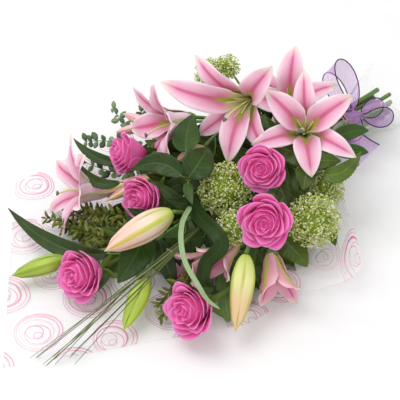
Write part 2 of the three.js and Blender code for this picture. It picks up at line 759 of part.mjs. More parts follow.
/** Point of a tepal: v from root to tip, u from one side to the other. */
function tepalPoint(line, { width, shift }, angle, v, u) {
  const exact = v * (line.length - 1);
  const k = min(Math.floor(exact), line.length - 2);
  const part = exact - k;
  const r = THREE.MathUtils.lerp(line[k].r, line[k + 1].r, part);
  const z = THREE.MathUtils.lerp(line[k].z, line[k + 1].z, part);
  const lean = THREE.MathUtils.lerp(line[k].lean, line[k + 1].lean, part);
  const half = max(0.6, (width / 2) * sin(PI * (0.06 + 0.94 * v) ** 1.2) ** 0.75);
  const inward = 0.12 * half * u * u - shift * min(1, 5 * v) * (1 - v)
    + 1.6 * sin(7 * v + 3 * angle) * u * v;
  const radial = r - inward * cos(lean);
  const turn = angle + clamp((half * u) / r, -0.85, 0.85);
  return vec(radial * cos(turn), radial * sin(turn), z + inward * sin(lean));
}

/** Tepals round a small receptacle. */
function lilyBloom(base, axis, tepals, grow) {
  const place = flowerFrame(base, axis);
  const cup = [[0, -3], [5, -2.4], [8.6, 5], [0, 5]]
    .map(([r, z]) => new THREE.Vector2(r && r + grow, z + (z > 4 ? grow : 0)));
  const pieces = [solidOf(new THREE.LatheGeometry(cup, 6).rotateX(PI / 2)).transform(place.elements)];
  tepals.forEach(([degrees, length, kind, opening]) => {
    const angle = THREE.MathUtils.degToRad(degrees);
    const line = tepalLine(length, opening, kind === 0 ? 2.5 : 4.4);
    const at = (v, u) => tepalPoint(line, TEPALS[kind], angle, v, u).applyMatrix4(place);
    pieces.push(blade(at, 4, 2, PETAL, grow));
  });
  return pieces;
}

const OPEN_TIP = [96, 112];
const blooms = {};
Object.entries(LILIES).forEach(([name, { throat, axis, depth, tepals }]) => {
  const base = throat.clone().addScaledVector(axis, -depth);
  blooms[name] = {
    base,
    axis,
    depth,
    tepals: tepals.map(([angle, length, kind]) => [angle, length, kind, OPEN_TIP[kind]]),
  };
});
Object.entries(TRUMPETS).forEach(([name, { base, axis, length, open, angles }]) => {
  blooms[name] = {
    base,
    axis,
    depth: 0.35 * length,
    tepals: angles.map((angle, k) => [angle, length, k % 2, THROAT_ANGLE + 92 * open]),
  };
});

/** Pistil that rises from the throat of a lily, and in an open one the filaments round it. */
function lilyStamens({ base, axis, depth }, filaments, grow) {
  const place = flowerFrame(base, axis);
  const at = (r, angle, z) => vec(r * cos(angle), r * sin(angle), z).applyMatrix4(place);
  const reach = depth + (filaments ? 46 : 34);
  const style = [[0, 6, 2.6], [0, 11, 1.4], [4, 0.75 * reach, 1.2], [9, 0.94 * reach, 1.2],
    [11, reach, 2.8], [12, reach + 2.5, 1.8]];
  const pieces = [
    stemSolid(style.map(([r, z]) => at(r, 4.2, z)), (i) => style[i][2], 4, grow),
  ];
  for (let k = 0; k < filaments; k += 1) {
    const angle = (2 * PI * k) / filaments + 0.4;
    const line = [at(1.2, angle, 7.2), at(11, angle, depth + 26)];
    pieces.push(stemSolid(line, () => 0.8, 3, grow));
  }
  return pieces;
}

// ---------------------------------------------------------------- buds

/** Thickness of a bud along its length, as a share of its width. */
const budShape = (t) => 0.16 + 0.84 * sin(PI * t ** 0.8) ** 0.8 * (1 - 0.25 * t);

function budSolids({ base, tips, width }, grow) {
  return tips.map((tip) => {
    const along = tip.clone().sub(base);
    const place = flowerFrame(base, along);
    const length = along.length();
    const sides = width > 20 ? 8 : 6;
    const rings = [0.03, 0.16, 0.36, 0.58, 0.78, 0.93].map((t) => {
      const ring = [];
      for (let k = 0; k < sides; k += 1) {
        const angle = (2 * PI * k) / sides;
        const radius = (width / 2) * budShape(t) * (1 + 0.08 * cos(3 * angle));
        ring.push(vec(radius * cos(angle), radius * sin(angle), t * length).applyMatrix4(place));
      }
      return ring;
    });
    return loft(base, rings, tip, grow);
  });
}

// ---------------------------------------------------------------- umbels

/** Even directions over the front and the sides of a head. */
function headDirections(count) {
  const directions = [];
  for (let k = 0; k < count; k += 1) {
    const rise = 1 - (1.9 * (k + 0.5)) / count;
    const around = sqrt(1 - rise * rise);
    directions.push(vec(around * cos(k * GOLDEN_ANGLE), around * sin(k * GOLDEN_ANGLE), rise));
  }
  return directions;
}

/** Head of an umbel: points of its surface that are not neighbours are drawn out as florets. */
function umbelHead(at, radius, florets, grow) {
  const directions = headDirections(2 * florets);
  const apart = 1.3 * sqrt((2 * PI) / florets);
  const drawn = [];
  const reach = directions.map((one) => {
    const free = drawn.every((other) => other.distanceTo(one) > apart);
    if (free) {
      drawn.push(one);
    }
    return free ? 1.08 : 0.86;
  });
  const surface = mergeVertices(new ConvexGeometry(directions).deleteAttribute('normal'), WELD);
  const places = surface.attributes.position;
  const points = [];
  for (let i = 0; i < places.count; i += 1) {
    const direction = vec().fromBufferAttribute(places, i);
    const k = directions.findIndex((one) => one.distanceTo(direction) < 10 * WELD);
    const point = direction.multiplyScalar(radius * reach[k] + grow);
    point.z *= 0.62;
    points.push(point.applyMatrix4(flowerFrame(at, SHOW_OUT)));
  }
  const triangles = [];
  for (let i = 0; i < surface.index.count; i += 3) {
    triangles.push([0, 1, 2].map((k) => surface.index.getX(i + k)));
  }
  return solidFrom(points, triangles);
}

function umbelSolids(name, grow) {
  return UMBELS[name].flatMap(([at, radius, florets]) => [
    umbelHead(at, radius, florets, grow),
    stemSolid([at, STARTS[name].from], () => 1.6, 4, grow),
  ]);
}

/** Plain shapes round the heads and the stalks of an umbel. */
function umbelRound(name) {
  return UMBELS[name].flatMap(([at, radius]) => {
    const ball = new THREE.SphereGeometry(1.2 * radius, 8, 5).rotateX(PI / 2).scale(1, 1, 0.66);
    return [
      solidOf(ball).transform(flowerFrame(at, SHOW_OUT).elements),
      stemSolid([at, STARTS[name].from], () => 1.6, 4, GAP),
    ];
  });
}

// ---------------------------------------------------------------- leaves

/** Half width of a leaf along its midrib, as a share of its width. */
const LEAF_SHAPE = {
  plain: (v) => 0.5 * sin(PI * (0.03 + 0.97 * v) ** 0.8) ** 0.8,
  toothed: (v) => 0.5 * sin(PI * (0.05 + 0.95 * v) ** 0.72) ** 0.7 * (1 - 0.06 * cos(36 * v)),
};

/** Share of a leaf's blade that is its stalk, and how far that runs on towards the tie. */
const STALK = 0.2;
const LEAF_RUN = 20;

/** Point of a leaf: v from its joint with the stem to its tip, u from one edge to the other. */
function leafPoint({ root, middle, tip, width, edge }, joint, v, u) {
  const bow = middle.clone().multiplyScalar(2).sub(root.clone().add(tip).multiplyScalar(0.5));
  const spine = new THREE.QuadraticBezierCurve3(root, bow, tip);
  const t = max(0, (v - STALK) / (1 - STALK));
  const along = v < STALK ? root.clone().sub(joint).normalize() : spine.getTangent(t);
  const side = along.clone().cross(SHOW_OUT).normalize();
  const lift = side.clone().cross(along);
  const half = v < STALK ? 1 : max(0.7, width * LEAF_SHAPE[edge](t));
  const rise = 0.22 * half * abs(u) + 0.06 * half * u * sin(9 * t + 1);
  const on = v < STALK ? joint.clone().lerp(root, v / STALK) : spine.getPoint(t);
  return on.addScaledVector(side, half * u).addScaledVector(lift, rise);
}

function leafSolids(name, list, grow) {
  return list.map((one) => {
    const rows = one.width < 17 ? 3 : 4 + (one.edge === 'toothed');
    const joint = one.joint ?? joinOn(name, one.root, LEAF_RUN);
    return blade((v, u) => leafPoint(one, joint, v, u), rows, 2, LEAF, grow);
  });
}

/** Smooth line from the start of a stem through hand-placed points. */
const lineFrom = (name, points) => (
  new THREE.CatmullRomCurve3([STARTS[name].from, ...points], false, 'catmullrom', 0.5)
);

/** Long narrow leaf along hand-placed points. */
function strapSolid(name, points, width, fold, grow) {
  const spine = lineFrom(name, points);
  const at = (v, u) => {
    const along = spine.getTangent(v);
    const side = along.clone().cross(SHOW_OUT).normalize();
    const lift = side.clone().cross(along);
    const half = max(0.7, (width / 2) * min(1, 0.35 + 4 * v) * sqrt(max(0, 1 - v ** 5)));
    const rise = fold * abs(u) * half;
    return spine.getPoint(v).addScaledVector(side, half * u).addScaledVector(lift, rise);
  };
  return blade(at, points.length + 4, 2, LEAF, grow);
}

// ---------------------------------------------------------------- sprigs

function sprigSolids(name, { size, slender, step, radius }, grow) {
  return SPRIGS[name].flatMap((points, branch) => {
    const spine = lineFrom(name, points);
    const random = randomFrom(17 * branch + Math.round(size * 10));
    const pieces = [stemSolid(spine.getPoints(points.length + 2), () => radius, 3, grow)];
    const count = Math.floor(spine.getLength() / step);
    for (let k = 1; k <= count; k += 1) {
      const v = 0.3 + (0.7 * k) / count;
      const root = spine.getPoint(v);
      const along = spine.getTangent(v);
      const turn = k * 1.9 + random();
      const side = SHOW_UP.clone().multiplyScalar(cos(turn)).addScaledVector(SHOW_OUT, sin(turn));
      side.addScaledVector(along, -side.dot(along)).normalize();
      [1, -1].forEach((way) => {
        const length = size * (0.8 + 0.4 * random());
        const tip = root.clone().addScaledVector(side, way * length);
        tip.addScaledVector(along, 0.45 * length);
        const up = along.clone().cross(side).addScaledVector(SHOW_OUT, 0.6);
        pieces.push(scale(root, tip, slender * length, 1.2, up, grow));
      });
    }
    return pieces;
  });
}
const EUCALYPTUS_LEAF = { size: 11, slender: 0.8, step: 37, radius: 0.9 };
const FILLER_LEAF = { size: 14, slender: 0.3, step: 38, radius: 0.9 };

/** Bundle of thin grass blades that fan out to the floor. */
function grassSolids(grow) {
  return GRASS_BLADES.map(([middle, tip], k) => {
    const line = lineFrom('grass', [middle, tip]).getPoints(4);
    return stemSolid(line, () => 1.1 - 0.1 * k, 3, grow);
  });
}

// ---------------------------------------------------------------- planting

for (const name of Object.keys(STARTS)) {
  const green = {
    rose: FINISH.roseGreen,
    lily: FINISH.lilyGreen,
    umbel: FINISH.umbel,
    salal: FINISH.salal,
    eucalyptus: FINISH.eucalyptus,
    filler: FINISH.filler,
    strap: FINISH.strap,
    strip: FINISH.strip,
    folded: FINISH.matteLeaf,
    grass: FINISH.strap,
  }[name.split('_')[0]];
  plant(name, green, (extra) => [ownStem(name, extra)]);
}
rose.forEach((bloom, i) => plant(`rose_stem_${i + 1}`, FINISH.roseGreen, (extra) => roseHip(bloom, extra)));

/** Flower stalks: which stem each lily flower and bud grows on. */
const CARRIED = {
  lily_stem_1: ['lily_2', 'lily_3'],
  lily_stem_2: ['lily_4', 'bud_5'],
  lily_stem_3: ['lily_5', 'lily_1', 'bud_7', 'bud_6'],
  lily_stem_4: ['bud_1', 'bud_3', 'bud_2'],
  lily_stem_5: ['bud_4', 'lily_6', 'lily_7', 'lily_8'],
};
/** How far a flower stalk runs on towards the tie before it meets its stem. */
const STALK_RUN = 34;
const SHORT_RUNS = { bud_1: 20, lily_3: 14 };
Object.entries(CARRIED).forEach(([name, carried]) => plant(name, FINISH.lilyGreen, (extra) => (
  carried.map((flower) => {
    const { base, axis, tips } = { ...blooms[flower], ...BUDS[flower] };
    const away = axis ? axis.clone().negate() : base.clone().sub(tips[0]).normalize();
    const foot = base.clone().addScaledVector(away, axis ? 3.4 : 0.4);
    return stalk(name, foot, 2, SHORT_RUNS[flower] ?? STALK_RUN, extra, away);
  }))));

rose.forEach((bloom, i) => {
  plant(`rose_${i + 1}`, FINISH.rose, (extra) => roseBloom(bloom, extra), () => roseBowl(bloom));
});
/** Filaments that show in each flower beside its pistil. */
const STAMENS = { lily_1: 6, lily_2: 6, lily_3: 6, lily_4: 0, lily_5: 0 };
Object.entries(STAMENS).forEach(([name, filaments]) => {
  plant(`${name}_pistil`, FINISH.stamen, (extra) => lilyStamens(blooms[name], filaments, extra));
});
Object.entries(blooms).forEach(([name, { base, axis, tepals }]) => {
  plant(name, FINISH.lily, (extra) => lilyBloom(base, axis, tepals, extra));
});
Object.entries(BUDS).forEach(([name, bud]) => plant(name, FINISH.bud, (extra) => budSolids(bud, extra)));
Object.keys(UMBELS).forEach((name) => {
  plant(name, FINISH.umbel, (extra) => umbelSolids(name, extra), () => umbelRound(name));
});
Object.entries(LEAVES).forEach(([name, list]) => {
  plant(name, nodes.get(name).material, (extra) => leafSolids(name, list, extra));
});
plant('strap_leaf', FINISH.strap, (extra) => [strapSolid('strap_leaf', STRAP, 18, 0.3, extra)]);
plant('strip_leaf', FINISH.strip, (extra) => [strapSolid('strip_leaf', STRIP, 6, 0.3, extra)]);
plant('folded_leaf', FINISH.matteLeaf, (extra) => [strapSolid('folded_leaf', FOLDED, 20, 0.5, extra)]);
plant('grass', FINISH.strap, (extra) => grassSolids(extra));
Object.keys(SPRIGS).forEach((name) => {
  const kind = name.startsWith('euca') ? EUCALYPTUS_LEAF : FILLER_LEAF;
  plant(name, nodes.get(name).material, (extra) => sprigSolids(name, kind, extra));
});

// ---------------------------------------------------------------- wrap, band and bow

/** Cut outline of the wrap laid flat: its near and its far edge from the heads to the stems. */
const WRAP_NEAR = [
  [-337, -22], [-91, -149], [-10, -160], [56, -212], [140, -176], [196, -110], [234, -98], [326, -86],
];
const WRAP_FAR = [
  [-165, 218], [-80, 212], [-20, 205], [70, 182], [150, 142], [196, 108], [234, 97], [326, 92],
];
/** Its grid, the pleats and radius it has at the tie, and how far it opens out past it. */
const WRAP = {
  columns: 10,
  rows: 14,
  pleats: 5,
  ring: 25,
  pleat: 2.3,
  round: 2.65,
  gather: [20, 196],
  flare: [232, 330],
  flareReach: 26,
  flapRise: 26,
};

/** Point on a chain of places at share s of its length in places. */
function alongEdge(edge, s) {
  const exact = clamp(s, 0, 1) * (edge.length - 1);
  const k = min(Math.floor(exact), edge.length - 2);
  return [0, 1].map((d) => THREE.MathUtils.lerp(edge[k][d], edge[k + 1][d], exact - k));
}

/** Point of the wrap: v from the heads to the stems, u from the near edge to the far one. */
function wrapPoint(v, u) {
  const [near, far] = [alongEdge(WRAP_NEAR, v), alongEdge(WRAP_FAR, v)];
  const x = THREE.MathUtils.lerp(near[0], far[0], (u + 1) / 2);
  const y = THREE.MathUtils.lerp(near[1], far[1], (u + 1) / 2);
  const flared = smoothstep(x, ...WRAP.flare);
  const gathered = smoothstep(x, ...WRAP.gather) * (1 - 0.3 * flared);
  const angle = u * WRAP.round;
  const pleat = WRAP.pleat * cos(PI * WRAP.pleats * (u + 1));
  const ring = WRAP.ring + pleat + WRAP.flareReach * flared;
  const lifted = smoothstep(-u, 0.5, 1) * smoothstep(x, -30, 50) * (1 - smoothstep(x, 90, 190));
  const flap = WRAP.flapRise * lifted;
  return vec(
    x,
    THREE.MathUtils.lerp(y, TIE.y + ring * sin(angle), gathered),
    max(SHEET / 2, THREE.MathUtils.lerp(SHEET / 2, TIE.z - ring * cos(angle), gathered) + flap),
  );
}

/** Strip round the tie: open by a few degrees under the knot. */
function ringStrip(radius, width, steps, thickness, grow) {
  const front = Math.atan2(SHOW_OUT.y, SHOW_OUT.z);
  const at = (v, u) => {
    const angle = front + 0.08 + (2 * PI - 0.16) * v;
    return vec(TIE.x + (u * width) / 2, TIE.y + radius * sin(angle), TIE.z + radius * cos(angle));
  };
  return blade(at, steps, 1, thickness, grow);
}

/** Distance of the knot from the middle of the stem bundle. */
const KNOT_REACH = 37.6;
const BOW = {
  ring: 29.4,
  width: 22,
  loopWidth: 34,
  loopRoll: THREE.MathUtils.degToRad(-60),
  knot: vec(TIE.x - 2, TIE.y, TIE.z)
    .addScaledVector(vec(0, SHOW_OUT.y, SHOW_OUT.z).normalize(), KNOT_REACH),
  loops: [
    { name: 'ribbon_loop_1', tip: vec(236, 46, 94), belly: 17 },
    { name: 'ribbon_loop_2', tip: vec(254, -40, 62), belly: 15 },
  ],
  tail: [vec(200, -22, 56), vec(196, -40, 42), vec(204, -58, 26)],
};

/** Loop of the bow: out from the knot to its tip on one side and back on the other. */
function bowLoop({ tip, belly }, grow) {
  const out = tip.clone().sub(BOW.knot);
  const reach = out.length();
  out.normalize();
  const lift = SHOW_OUT.clone().addScaledVector(out, -SHOW_OUT.dot(out)).normalize();
  const side = out.clone().cross(lift);
  [lift, side].forEach((one) => one.applyAxisAngle(out, BOW.loopRoll));
  const at = (v, u) => {
    const along = 11 + ((reach - 11) * (1 - cos(2 * PI * v))) / 2;
    const bulge = belly * sin(2 * PI * v) * sin(PI * v) ** 0.6 + 2 * cos(PI * v);
    const half = (BOW.loopWidth / 2) * (0.22 + 0.78 * sin(PI * v) ** 0.7);
    return BOW.knot.clone().addScaledVector(out, along).addScaledVector(lift, bulge)
      .addScaledVector(side, half * u);
  };
  return blade(at, 11, 2, SHEET, grow);
}

/** Tail of the ribbon, cut straight at its end. */
function bowTail(grow) {
  const spine = new THREE.QuadraticBezierCurve3(...BOW.tail);
  const at = (v, u) => {
    const side = spine.getTangent(v).cross(SHOW_OUT).normalize();
    const wave = 3 * cos(2 * PI * u * v);
    return spine.getPoint(v).addScaledVector(side, u * (5 + 14 * v)).addScaledVector(SHOW_OUT, wave);
  };
  return blade(at, 4, 3, SHEET, grow);
}

function bowKnot(grow) {
  const ball = new THREE.SphereGeometry(1, 8, 6).scale(9 + grow, 8 + grow, 6 + grow);
  return solidOf(ball).transform(flowerFrame(BOW.knot, SHOW_OUT, 0.4).elements);
}

plant('binding_band', FINISH.band, (extra) => [ringStrip(TIE.band - 0.9, TIE.bandWidth, 18, 1, extra)]);
plant('ribbon_knot', FINISH.ribbon, (extra) => [bowKnot(extra)]);
plant('ribbon_ring', FINISH.ribbon, (extra) => [ringStrip(BOW.ring, BOW.width, 16, SHEET, extra)]);
BOW.loops.forEach((loop) => plant(loop.name, FINISH.ribbon, (extra) => [bowLoop(loop, extra)]));
plant('ribbon_tail', FINISH.ribbon, (extra) => [bowTail(extra)]);
plant('film_wrap', FINISH.film, (extra) => [blade(wrapPoint, WRAP.rows, WRAP.columns, SHEET, extra)]);

// ---------------------------------------------------------------- the finished group

/** Geometry of a solid's surface. */
function surfaceOf(solid) {
  const mesh = solid.getMesh();
  const geometry = new THREE.BufferGeometry();
  geometry.setAttribute('position', new THREE.BufferAttribute(mesh.vertProperties, 3));
  geometry.setIndex(new THREE.BufferAttribute(mesh.triVerts, 1));
  return geometry;
}

const bouquet = new THREE.Group();
nodes.forEach(({ material, solids }, name) => {
  const smoothed = wasm.Manifold.union(solids).simplify(SMOOTH);
  const solid = largest(solidOf(surfaceOf(smoothed)));
  const geometry = surfaceOf(solid);
  geometry.computeVertexNormals();
  const node = new THREE.Mesh(geometry, material);
  node.name = name;
  bouquet.add(node);
});

export default bouquet;
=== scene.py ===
"""Looks of a mixed bouquet of lilies, roses, green umbels and foliage, laid on its printed film.

Shapes are worked out in millimetres and become metres where a mesh is made. +X runs along the
bouquet from the flower heads to the cut stems, +Z is up, and the showy side looks half upwards,
towards -X and -Y. Each piece stands for the CAD node whose form it refines.
"""

import logging
import math
from dataclasses import dataclass, field
from enum import Enum
from functools import partial
from typing import Callable, Sequence

import bpy
import numpy as np
from bpy.types import NodeSocket, NodeTree
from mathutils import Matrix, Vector

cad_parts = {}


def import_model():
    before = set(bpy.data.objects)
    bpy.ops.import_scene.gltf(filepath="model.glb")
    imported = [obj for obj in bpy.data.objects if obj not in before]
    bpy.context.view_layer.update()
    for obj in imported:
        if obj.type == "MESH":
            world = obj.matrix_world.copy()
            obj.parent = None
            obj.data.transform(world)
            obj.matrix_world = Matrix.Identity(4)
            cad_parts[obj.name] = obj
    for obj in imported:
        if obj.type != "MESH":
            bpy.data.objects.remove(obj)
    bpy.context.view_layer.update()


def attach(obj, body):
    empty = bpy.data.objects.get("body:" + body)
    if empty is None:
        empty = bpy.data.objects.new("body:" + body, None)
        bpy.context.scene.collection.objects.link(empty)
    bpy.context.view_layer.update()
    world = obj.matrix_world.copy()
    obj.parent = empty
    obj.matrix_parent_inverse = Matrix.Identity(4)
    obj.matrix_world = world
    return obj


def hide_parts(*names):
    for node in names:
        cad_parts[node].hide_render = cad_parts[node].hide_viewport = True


Array = np.ndarray
LOG = logging.getLogger("bouquet")
MM = 0.001
TAU = 2 * math.pi
GOLDEN_ANGLE = math.pi * (3 - math.sqrt(5))
WHITE = "#ffffff"

SHOW_TURN = math.radians(40)
SHOW_RISE = math.radians(45)
SHOW_RIGHT = np.array([math.cos(SHOW_TURN), -math.sin(SHOW_TURN), 0.0])
SHOW_UP = np.array([
    math.sin(SHOW_TURN) * math.sin(SHOW_RISE),
    math.cos(SHOW_TURN) * math.sin(SHOW_RISE),
    math.cos(SHOW_RISE),
])
SHOW_OUT = np.cross(SHOW_RIGHT, SHOW_UP)


# ---- numbers and lines


def vec(*numbers: float) -> Array:
    """A point or direction as an array of floats."""
    return np.array(numbers, float)


def seed_of(name: str) -> int:
    """Seed that a piece's name gives."""
    return sum(map(ord, name))


def spans(rows: int, columns: int) -> list[Array]:
    """Grid of the shares v from 0 to 1 along and u from -1 to 1 across."""
    return np.meshgrid(np.linspace(0, 1, rows), np.linspace(-1, 1, columns), indexing="ij")


def round_angles(count: int) -> Array:
    """Evenly spaced angles of a full turn."""
    return np.arange(count) * TAU / count


def unit(vectors: Array) -> Array:
    """Vectors scaled to length one along their last axis."""
    length = np.linalg.norm(vectors, axis=-1, keepdims=True)
    return vectors / np.maximum(length, 1e-12)


def smoothstep(value: Array, low: float, high: float) -> Array:
    """Ease from 0 at low to 1 at high: 3t squared minus 2t cubed of the clamped share t."""
    t = np.clip((np.asarray(value, float) - low) / (high - low), 0, 1)
    return t * t * (3 - 2 * t)


def facing(right: float, up: float, degrees: float) -> Array:
    """Direction that leans off the showy side by an angle.

    Args:
        right: share of the lean that goes to the showy side's right.
        up: share of the lean that goes upwards on the showy side.
        degrees: angle off the showy side.

    Returns:
        The unit direction.
    """
    tilt = math.radians(degrees)
    side = unit(SHOW_RIGHT * right + SHOW_UP * up)
    return SHOW_OUT * math.cos(tilt) + side * math.sin(tilt)


def smooth_line(points: Sequence[Array], count: int) -> Array:
    """Uniform Catmull-Rom curve through points.

    Between two points the place is a cubic blend of them and their outer neighbours, and the
    ends are continued straight on.

    Args:
        points: places that the line passes.
        count: number of places to return.

    Returns:
        Array of count places.
    """
    known = np.asarray(points, float)
    known = np.vstack([2 * known[0] - known[1], known, 2 * known[-1] - known[-2]])
    exact = np.linspace(0, len(known) - 3, count)
    k = np.minimum(exact.astype(int), len(known) - 4)
    t = (exact - k)[:, None]
    a, b, c, d = known[k], known[k + 1], known[k + 2], known[k + 3]
    return 0.5 * (
        2 * b + (c - a) * t + (2 * a - 5 * b + 4 * c - d) * t**2 + (3 * b - a - 3 * c + d) * t**3
    )


def bow_line(root: Array, middle: Array, tip: Array, count: int) -> Array:
    """Quadratic curve from root to tip whose halfway place is middle.

    Args:
        root: start.
        middle: place at half the curve.
        tip: end.
        count: number of places to return.

    Returns:
        Array of count places.
    """
    bend = 2 * middle - (root + tip) / 2
    t = np.linspace(0, 1, count)[:, None]
    return (1 - t) ** 2 * root + 2 * t * (1 - t) * bend + t**2 * tip


@dataclass(frozen=True)
class Place:
    """Where a flower sits: its origin and its x, y and z directions as columns."""

    origin: Array
    axes: Array

    def put(self, points: Array) -> Array:
        """Points given in the flower's own directions, in the row frame."""
        return points @ self.axes.T + self.origin


def flower_place(origin: Array, axis: Array, turn: float = 0.0) -> Place:
    """Place with z along the axis, y upwards on the showy side and x to its right.

    Args:
        origin: the flower's base.
        axis: direction that the flower faces.
        turn: turn round the axis in radians.

    Returns:
        The place.
    """
    z = unit(axis)
    y = unit(SHOW_UP - z * (SHOW_UP @ z))
    x = np.cross(y, z)
    c, s = math.cos(turn), math.sin(turn)
    return Place(origin, np.stack([x * c + y * s, y * c - x * s, z], axis=1))


# ---- surfaces


@dataclass
class Patch:
    """A closed surface: places, face corners, faces' corner counts, and what the finish reads."""

    points: Array
    corners: Array
    sizes: Array
    uv: Array
    tone: Array
    side: Array


def patch_of(
    points: Array,
    faces: Sequence[Array],
    face_uv: Sequence[Array],
    tone: float | Array = 0.5,
    side: float | Array = 1.0,
    outwards: bool = False,
) -> Patch:
    """Joins face arrays of different corner counts into one patch.

    The signed volume is the sum of the corner determinants of the fans of all faces over six.

    Args:
        points: (n, 3) places.
        faces: arrays of faces, each (count, corners).
        face_uv: the UV of each corner, alike.
        tone: shade of the patch from 0 to 1, one or for each place.
        side: 1 on the upper face of a leaf and 0 on its back, one or for each place.
        outwards: whether to turn the patch right side out by the sign of its volume.

    Returns:
        The patch.
    """
    if outwards:
        volume = 0.0
        for face in faces:
            for k in range(1, face.shape[1] - 1):
                a, b, c = points[face[:, 0]], points[face[:, k]], points[face[:, k + 1]]
                volume += float((a * np.cross(b, c)).sum())
        if volume < 0:
            faces = [face[:, ::-1] for face in faces]
            face_uv = [uv[:, ::-1] for uv in face_uv]
    return Patch(
        points=points,
        corners=np.concatenate([face.ravel() for face in faces]),
        sizes=np.concatenate([np.full(len(face), face.shape[1]) for face in faces]),
        uv=np.concatenate([uv.reshape(-1, 2) for uv in face_uv]),
        tone=np.broadcast_to(np.asarray(tone, float), len(points)).copy(),
        side=np.broadcast_to(np.asarray(side, float), len(points)).copy(),
    )


def grid_faces(rows: int, columns: int, wrapped: bool = False) -> tuple[Array, Array]:
    """Four-cornered faces of a grid of places, row after row.

    Args:
        rows: number of rows of places.
        columns: number of places in a row.
        wrapped: whether the last column joins the first.

    Returns:
        Faces as (count, 4) place numbers, and their corners' UV, across and along.
    """
    steps = columns if wrapped else columns - 1
    i, j = (a.ravel() for a in np.meshgrid(np.arange(rows - 1), np.arange(steps), indexing="ij"))
    row = i[:, None] + np.array([0, 1, 1, 0])
    column = j[:, None] + np.array([0, 0, 1, 1])
    uv = np.stack([column / steps, row / (rows - 1)], axis=-1)
    return row * columns + column % columns, uv


def rim_of(grid: Array) -> Array:
    """What lies along a grid's rim, once round it."""
    return np.concatenate([grid[0, :-1], grid[:-1, -1], grid[-1, :0:-1], grid[:0:-1, 0]])


def grid_normals(grid: Array) -> Array:
    """Unit normals of a grid of places: the step along crossed with the step across."""
    return unit(np.cross(np.gradient(grid, axis=0), np.gradient(grid, axis=1)))


def blade(
    grid: Array,
    thickness: float,
    tone: float = 0.5,
    flat: Array | None = None,
) -> Patch:
    """Thin closed sheet over a grid of places, half its thickness on each side.

    Args:
        grid: (rows, columns, 3) places of its middle surface.
        thickness: its thickness in millimetres, thinned to a third along the rim.
        tone: shade of the patch.
        flat: (rows, columns, 2) UV of the places, else their share across and along.

    Returns:
        The patch; its upper face looks along the normals.
    """
    rows, columns = grid.shape[:2]
    normal = grid_normals(grid)
    half = np.full((rows, columns, 1), thickness / 2)
    half[[0, -1]] /= 3
    half[:, [0, -1]] /= 3
    points = np.concatenate([
        (grid + normal * half).reshape(-1, 3), (grid - normal * half).reshape(-1, 3),
    ])
    faces, _ = grid_faces(rows, columns)
    if flat is None:
        flat = np.stack(np.meshgrid(np.linspace(0, 1, columns), np.linspace(0, 1, rows)), axis=-1)
    uv = flat.reshape(-1, 2)[faces]
    under = rows * columns
    numbers = np.arange(under).reshape(rows, columns)
    rim = rim_of(numbers)
    after = np.roll(rim, -1)
    rim_faces = np.stack([rim, after, after + under, rim + under], axis=1)
    rim_uv = flat.reshape(-1, 2)[np.stack([rim, after, after, rim], axis=1)]
    return patch_of(
        points,
        [faces, faces[:, ::-1] + under, rim_faces],
        [uv, uv[:, ::-1], rim_uv],
        tone,
        np.repeat([1.0, 0.0], under),
    )


def loft(rings: Array, first: Array, last: Array, tone: float = 0.5) -> Patch:
    """Closed body through rings of places, with a pole at each end.

    Args:
        rings: (rows, columns, 3) places.
        first: pole before the first ring.
        last: pole after the last ring.
        tone: shade of the patch.

    Returns:
        The patch, right side out.
    """
    rows, columns = rings.shape[:2]
    faces, uv = grid_faces(rows, columns, wrapped=True)
    points = np.vstack([rings.reshape(-1, 3), first, last])
    k = np.arange(columns)
    around = np.stack([k, k + 1, k + 0.5], axis=1) / columns
    start = np.stack([k, (k + 1) % columns, np.full(columns, rows * columns)], axis=1)
    end = np.stack([k, (k + 1) % columns, np.full(columns, rows * columns + 1)], axis=1)
    end[:, :2] += (rows - 1) * columns
    ends_uv = [np.stack([around, np.full_like(around, v)], axis=-1) for v in (0.0, 1.0)]
    return patch_of(
        points,
        [faces, np.vstack([start, end[:, ::-1]])],
        [uv, np.concatenate([ends_uv[0], ends_uv[1][:, ::-1]])],
        tone,
        outwards=True,
    )


def polar(radius: Array, angle: Array, height: Array) -> Array:
    """Places at the given radii, angles and heights round z, over the grid they span."""
    parts = (radius * np.cos(angle), radius * np.sin(angle), height)
    return np.stack(np.broadcast_arrays(*parts), axis=-1)


def turned(profile: Array, columns: int) -> Array:
    """Rings of a profile of (radius, height) turned round z."""
    return polar(profile[:, :1], round_angles(columns), profile[:, 1:])


def cross_frames(line: Array) -> tuple[Array, Array]:
    """Two directions square to a line at each of its places.

    Args:
        line: (rows, 3) places.

    Returns:
        The sideways and the upward directions: up is that of the showy side's directions which
        the line keeps furthest from, less its share along the line, and side is square to both.
    """
    along = unit(np.gradient(line, axis=0))
    choices = [SHOW_OUT, SHOW_UP, SHOW_RIGHT]
    guide = min(choices, key=lambda choice: float(np.abs(along @ choice).max()))
    up = unit(guide - along * (along @ guide)[:, None])
    return np.cross(along, up), up


def tube(line: Array, radius: float | Array, sides: int, tone: float = 0.5) -> Patch:
    """Round body along a line: each ring is the place plus its radius times cosine and sine of
    the angle along the two cross directions.

    Args:
        line: (rows, 3) places.
        radius: radius, one or for each place.
        sides: number of sides.
        tone: shade of the patch.

    Returns:
        The patch.
    """
    side, up = cross_frames(line)
    angle = round_angles(sides)
    reach = np.broadcast_to(np.asarray(radius, float), len(line))[:, None, None]
    rings = line[:, None] + reach * (
        side[:, None] * np.cos(angle)[:, None] + up[:, None] * np.sin(angle)[:, None]
    )
    return loft(rings, line[0], line[-1], tone)


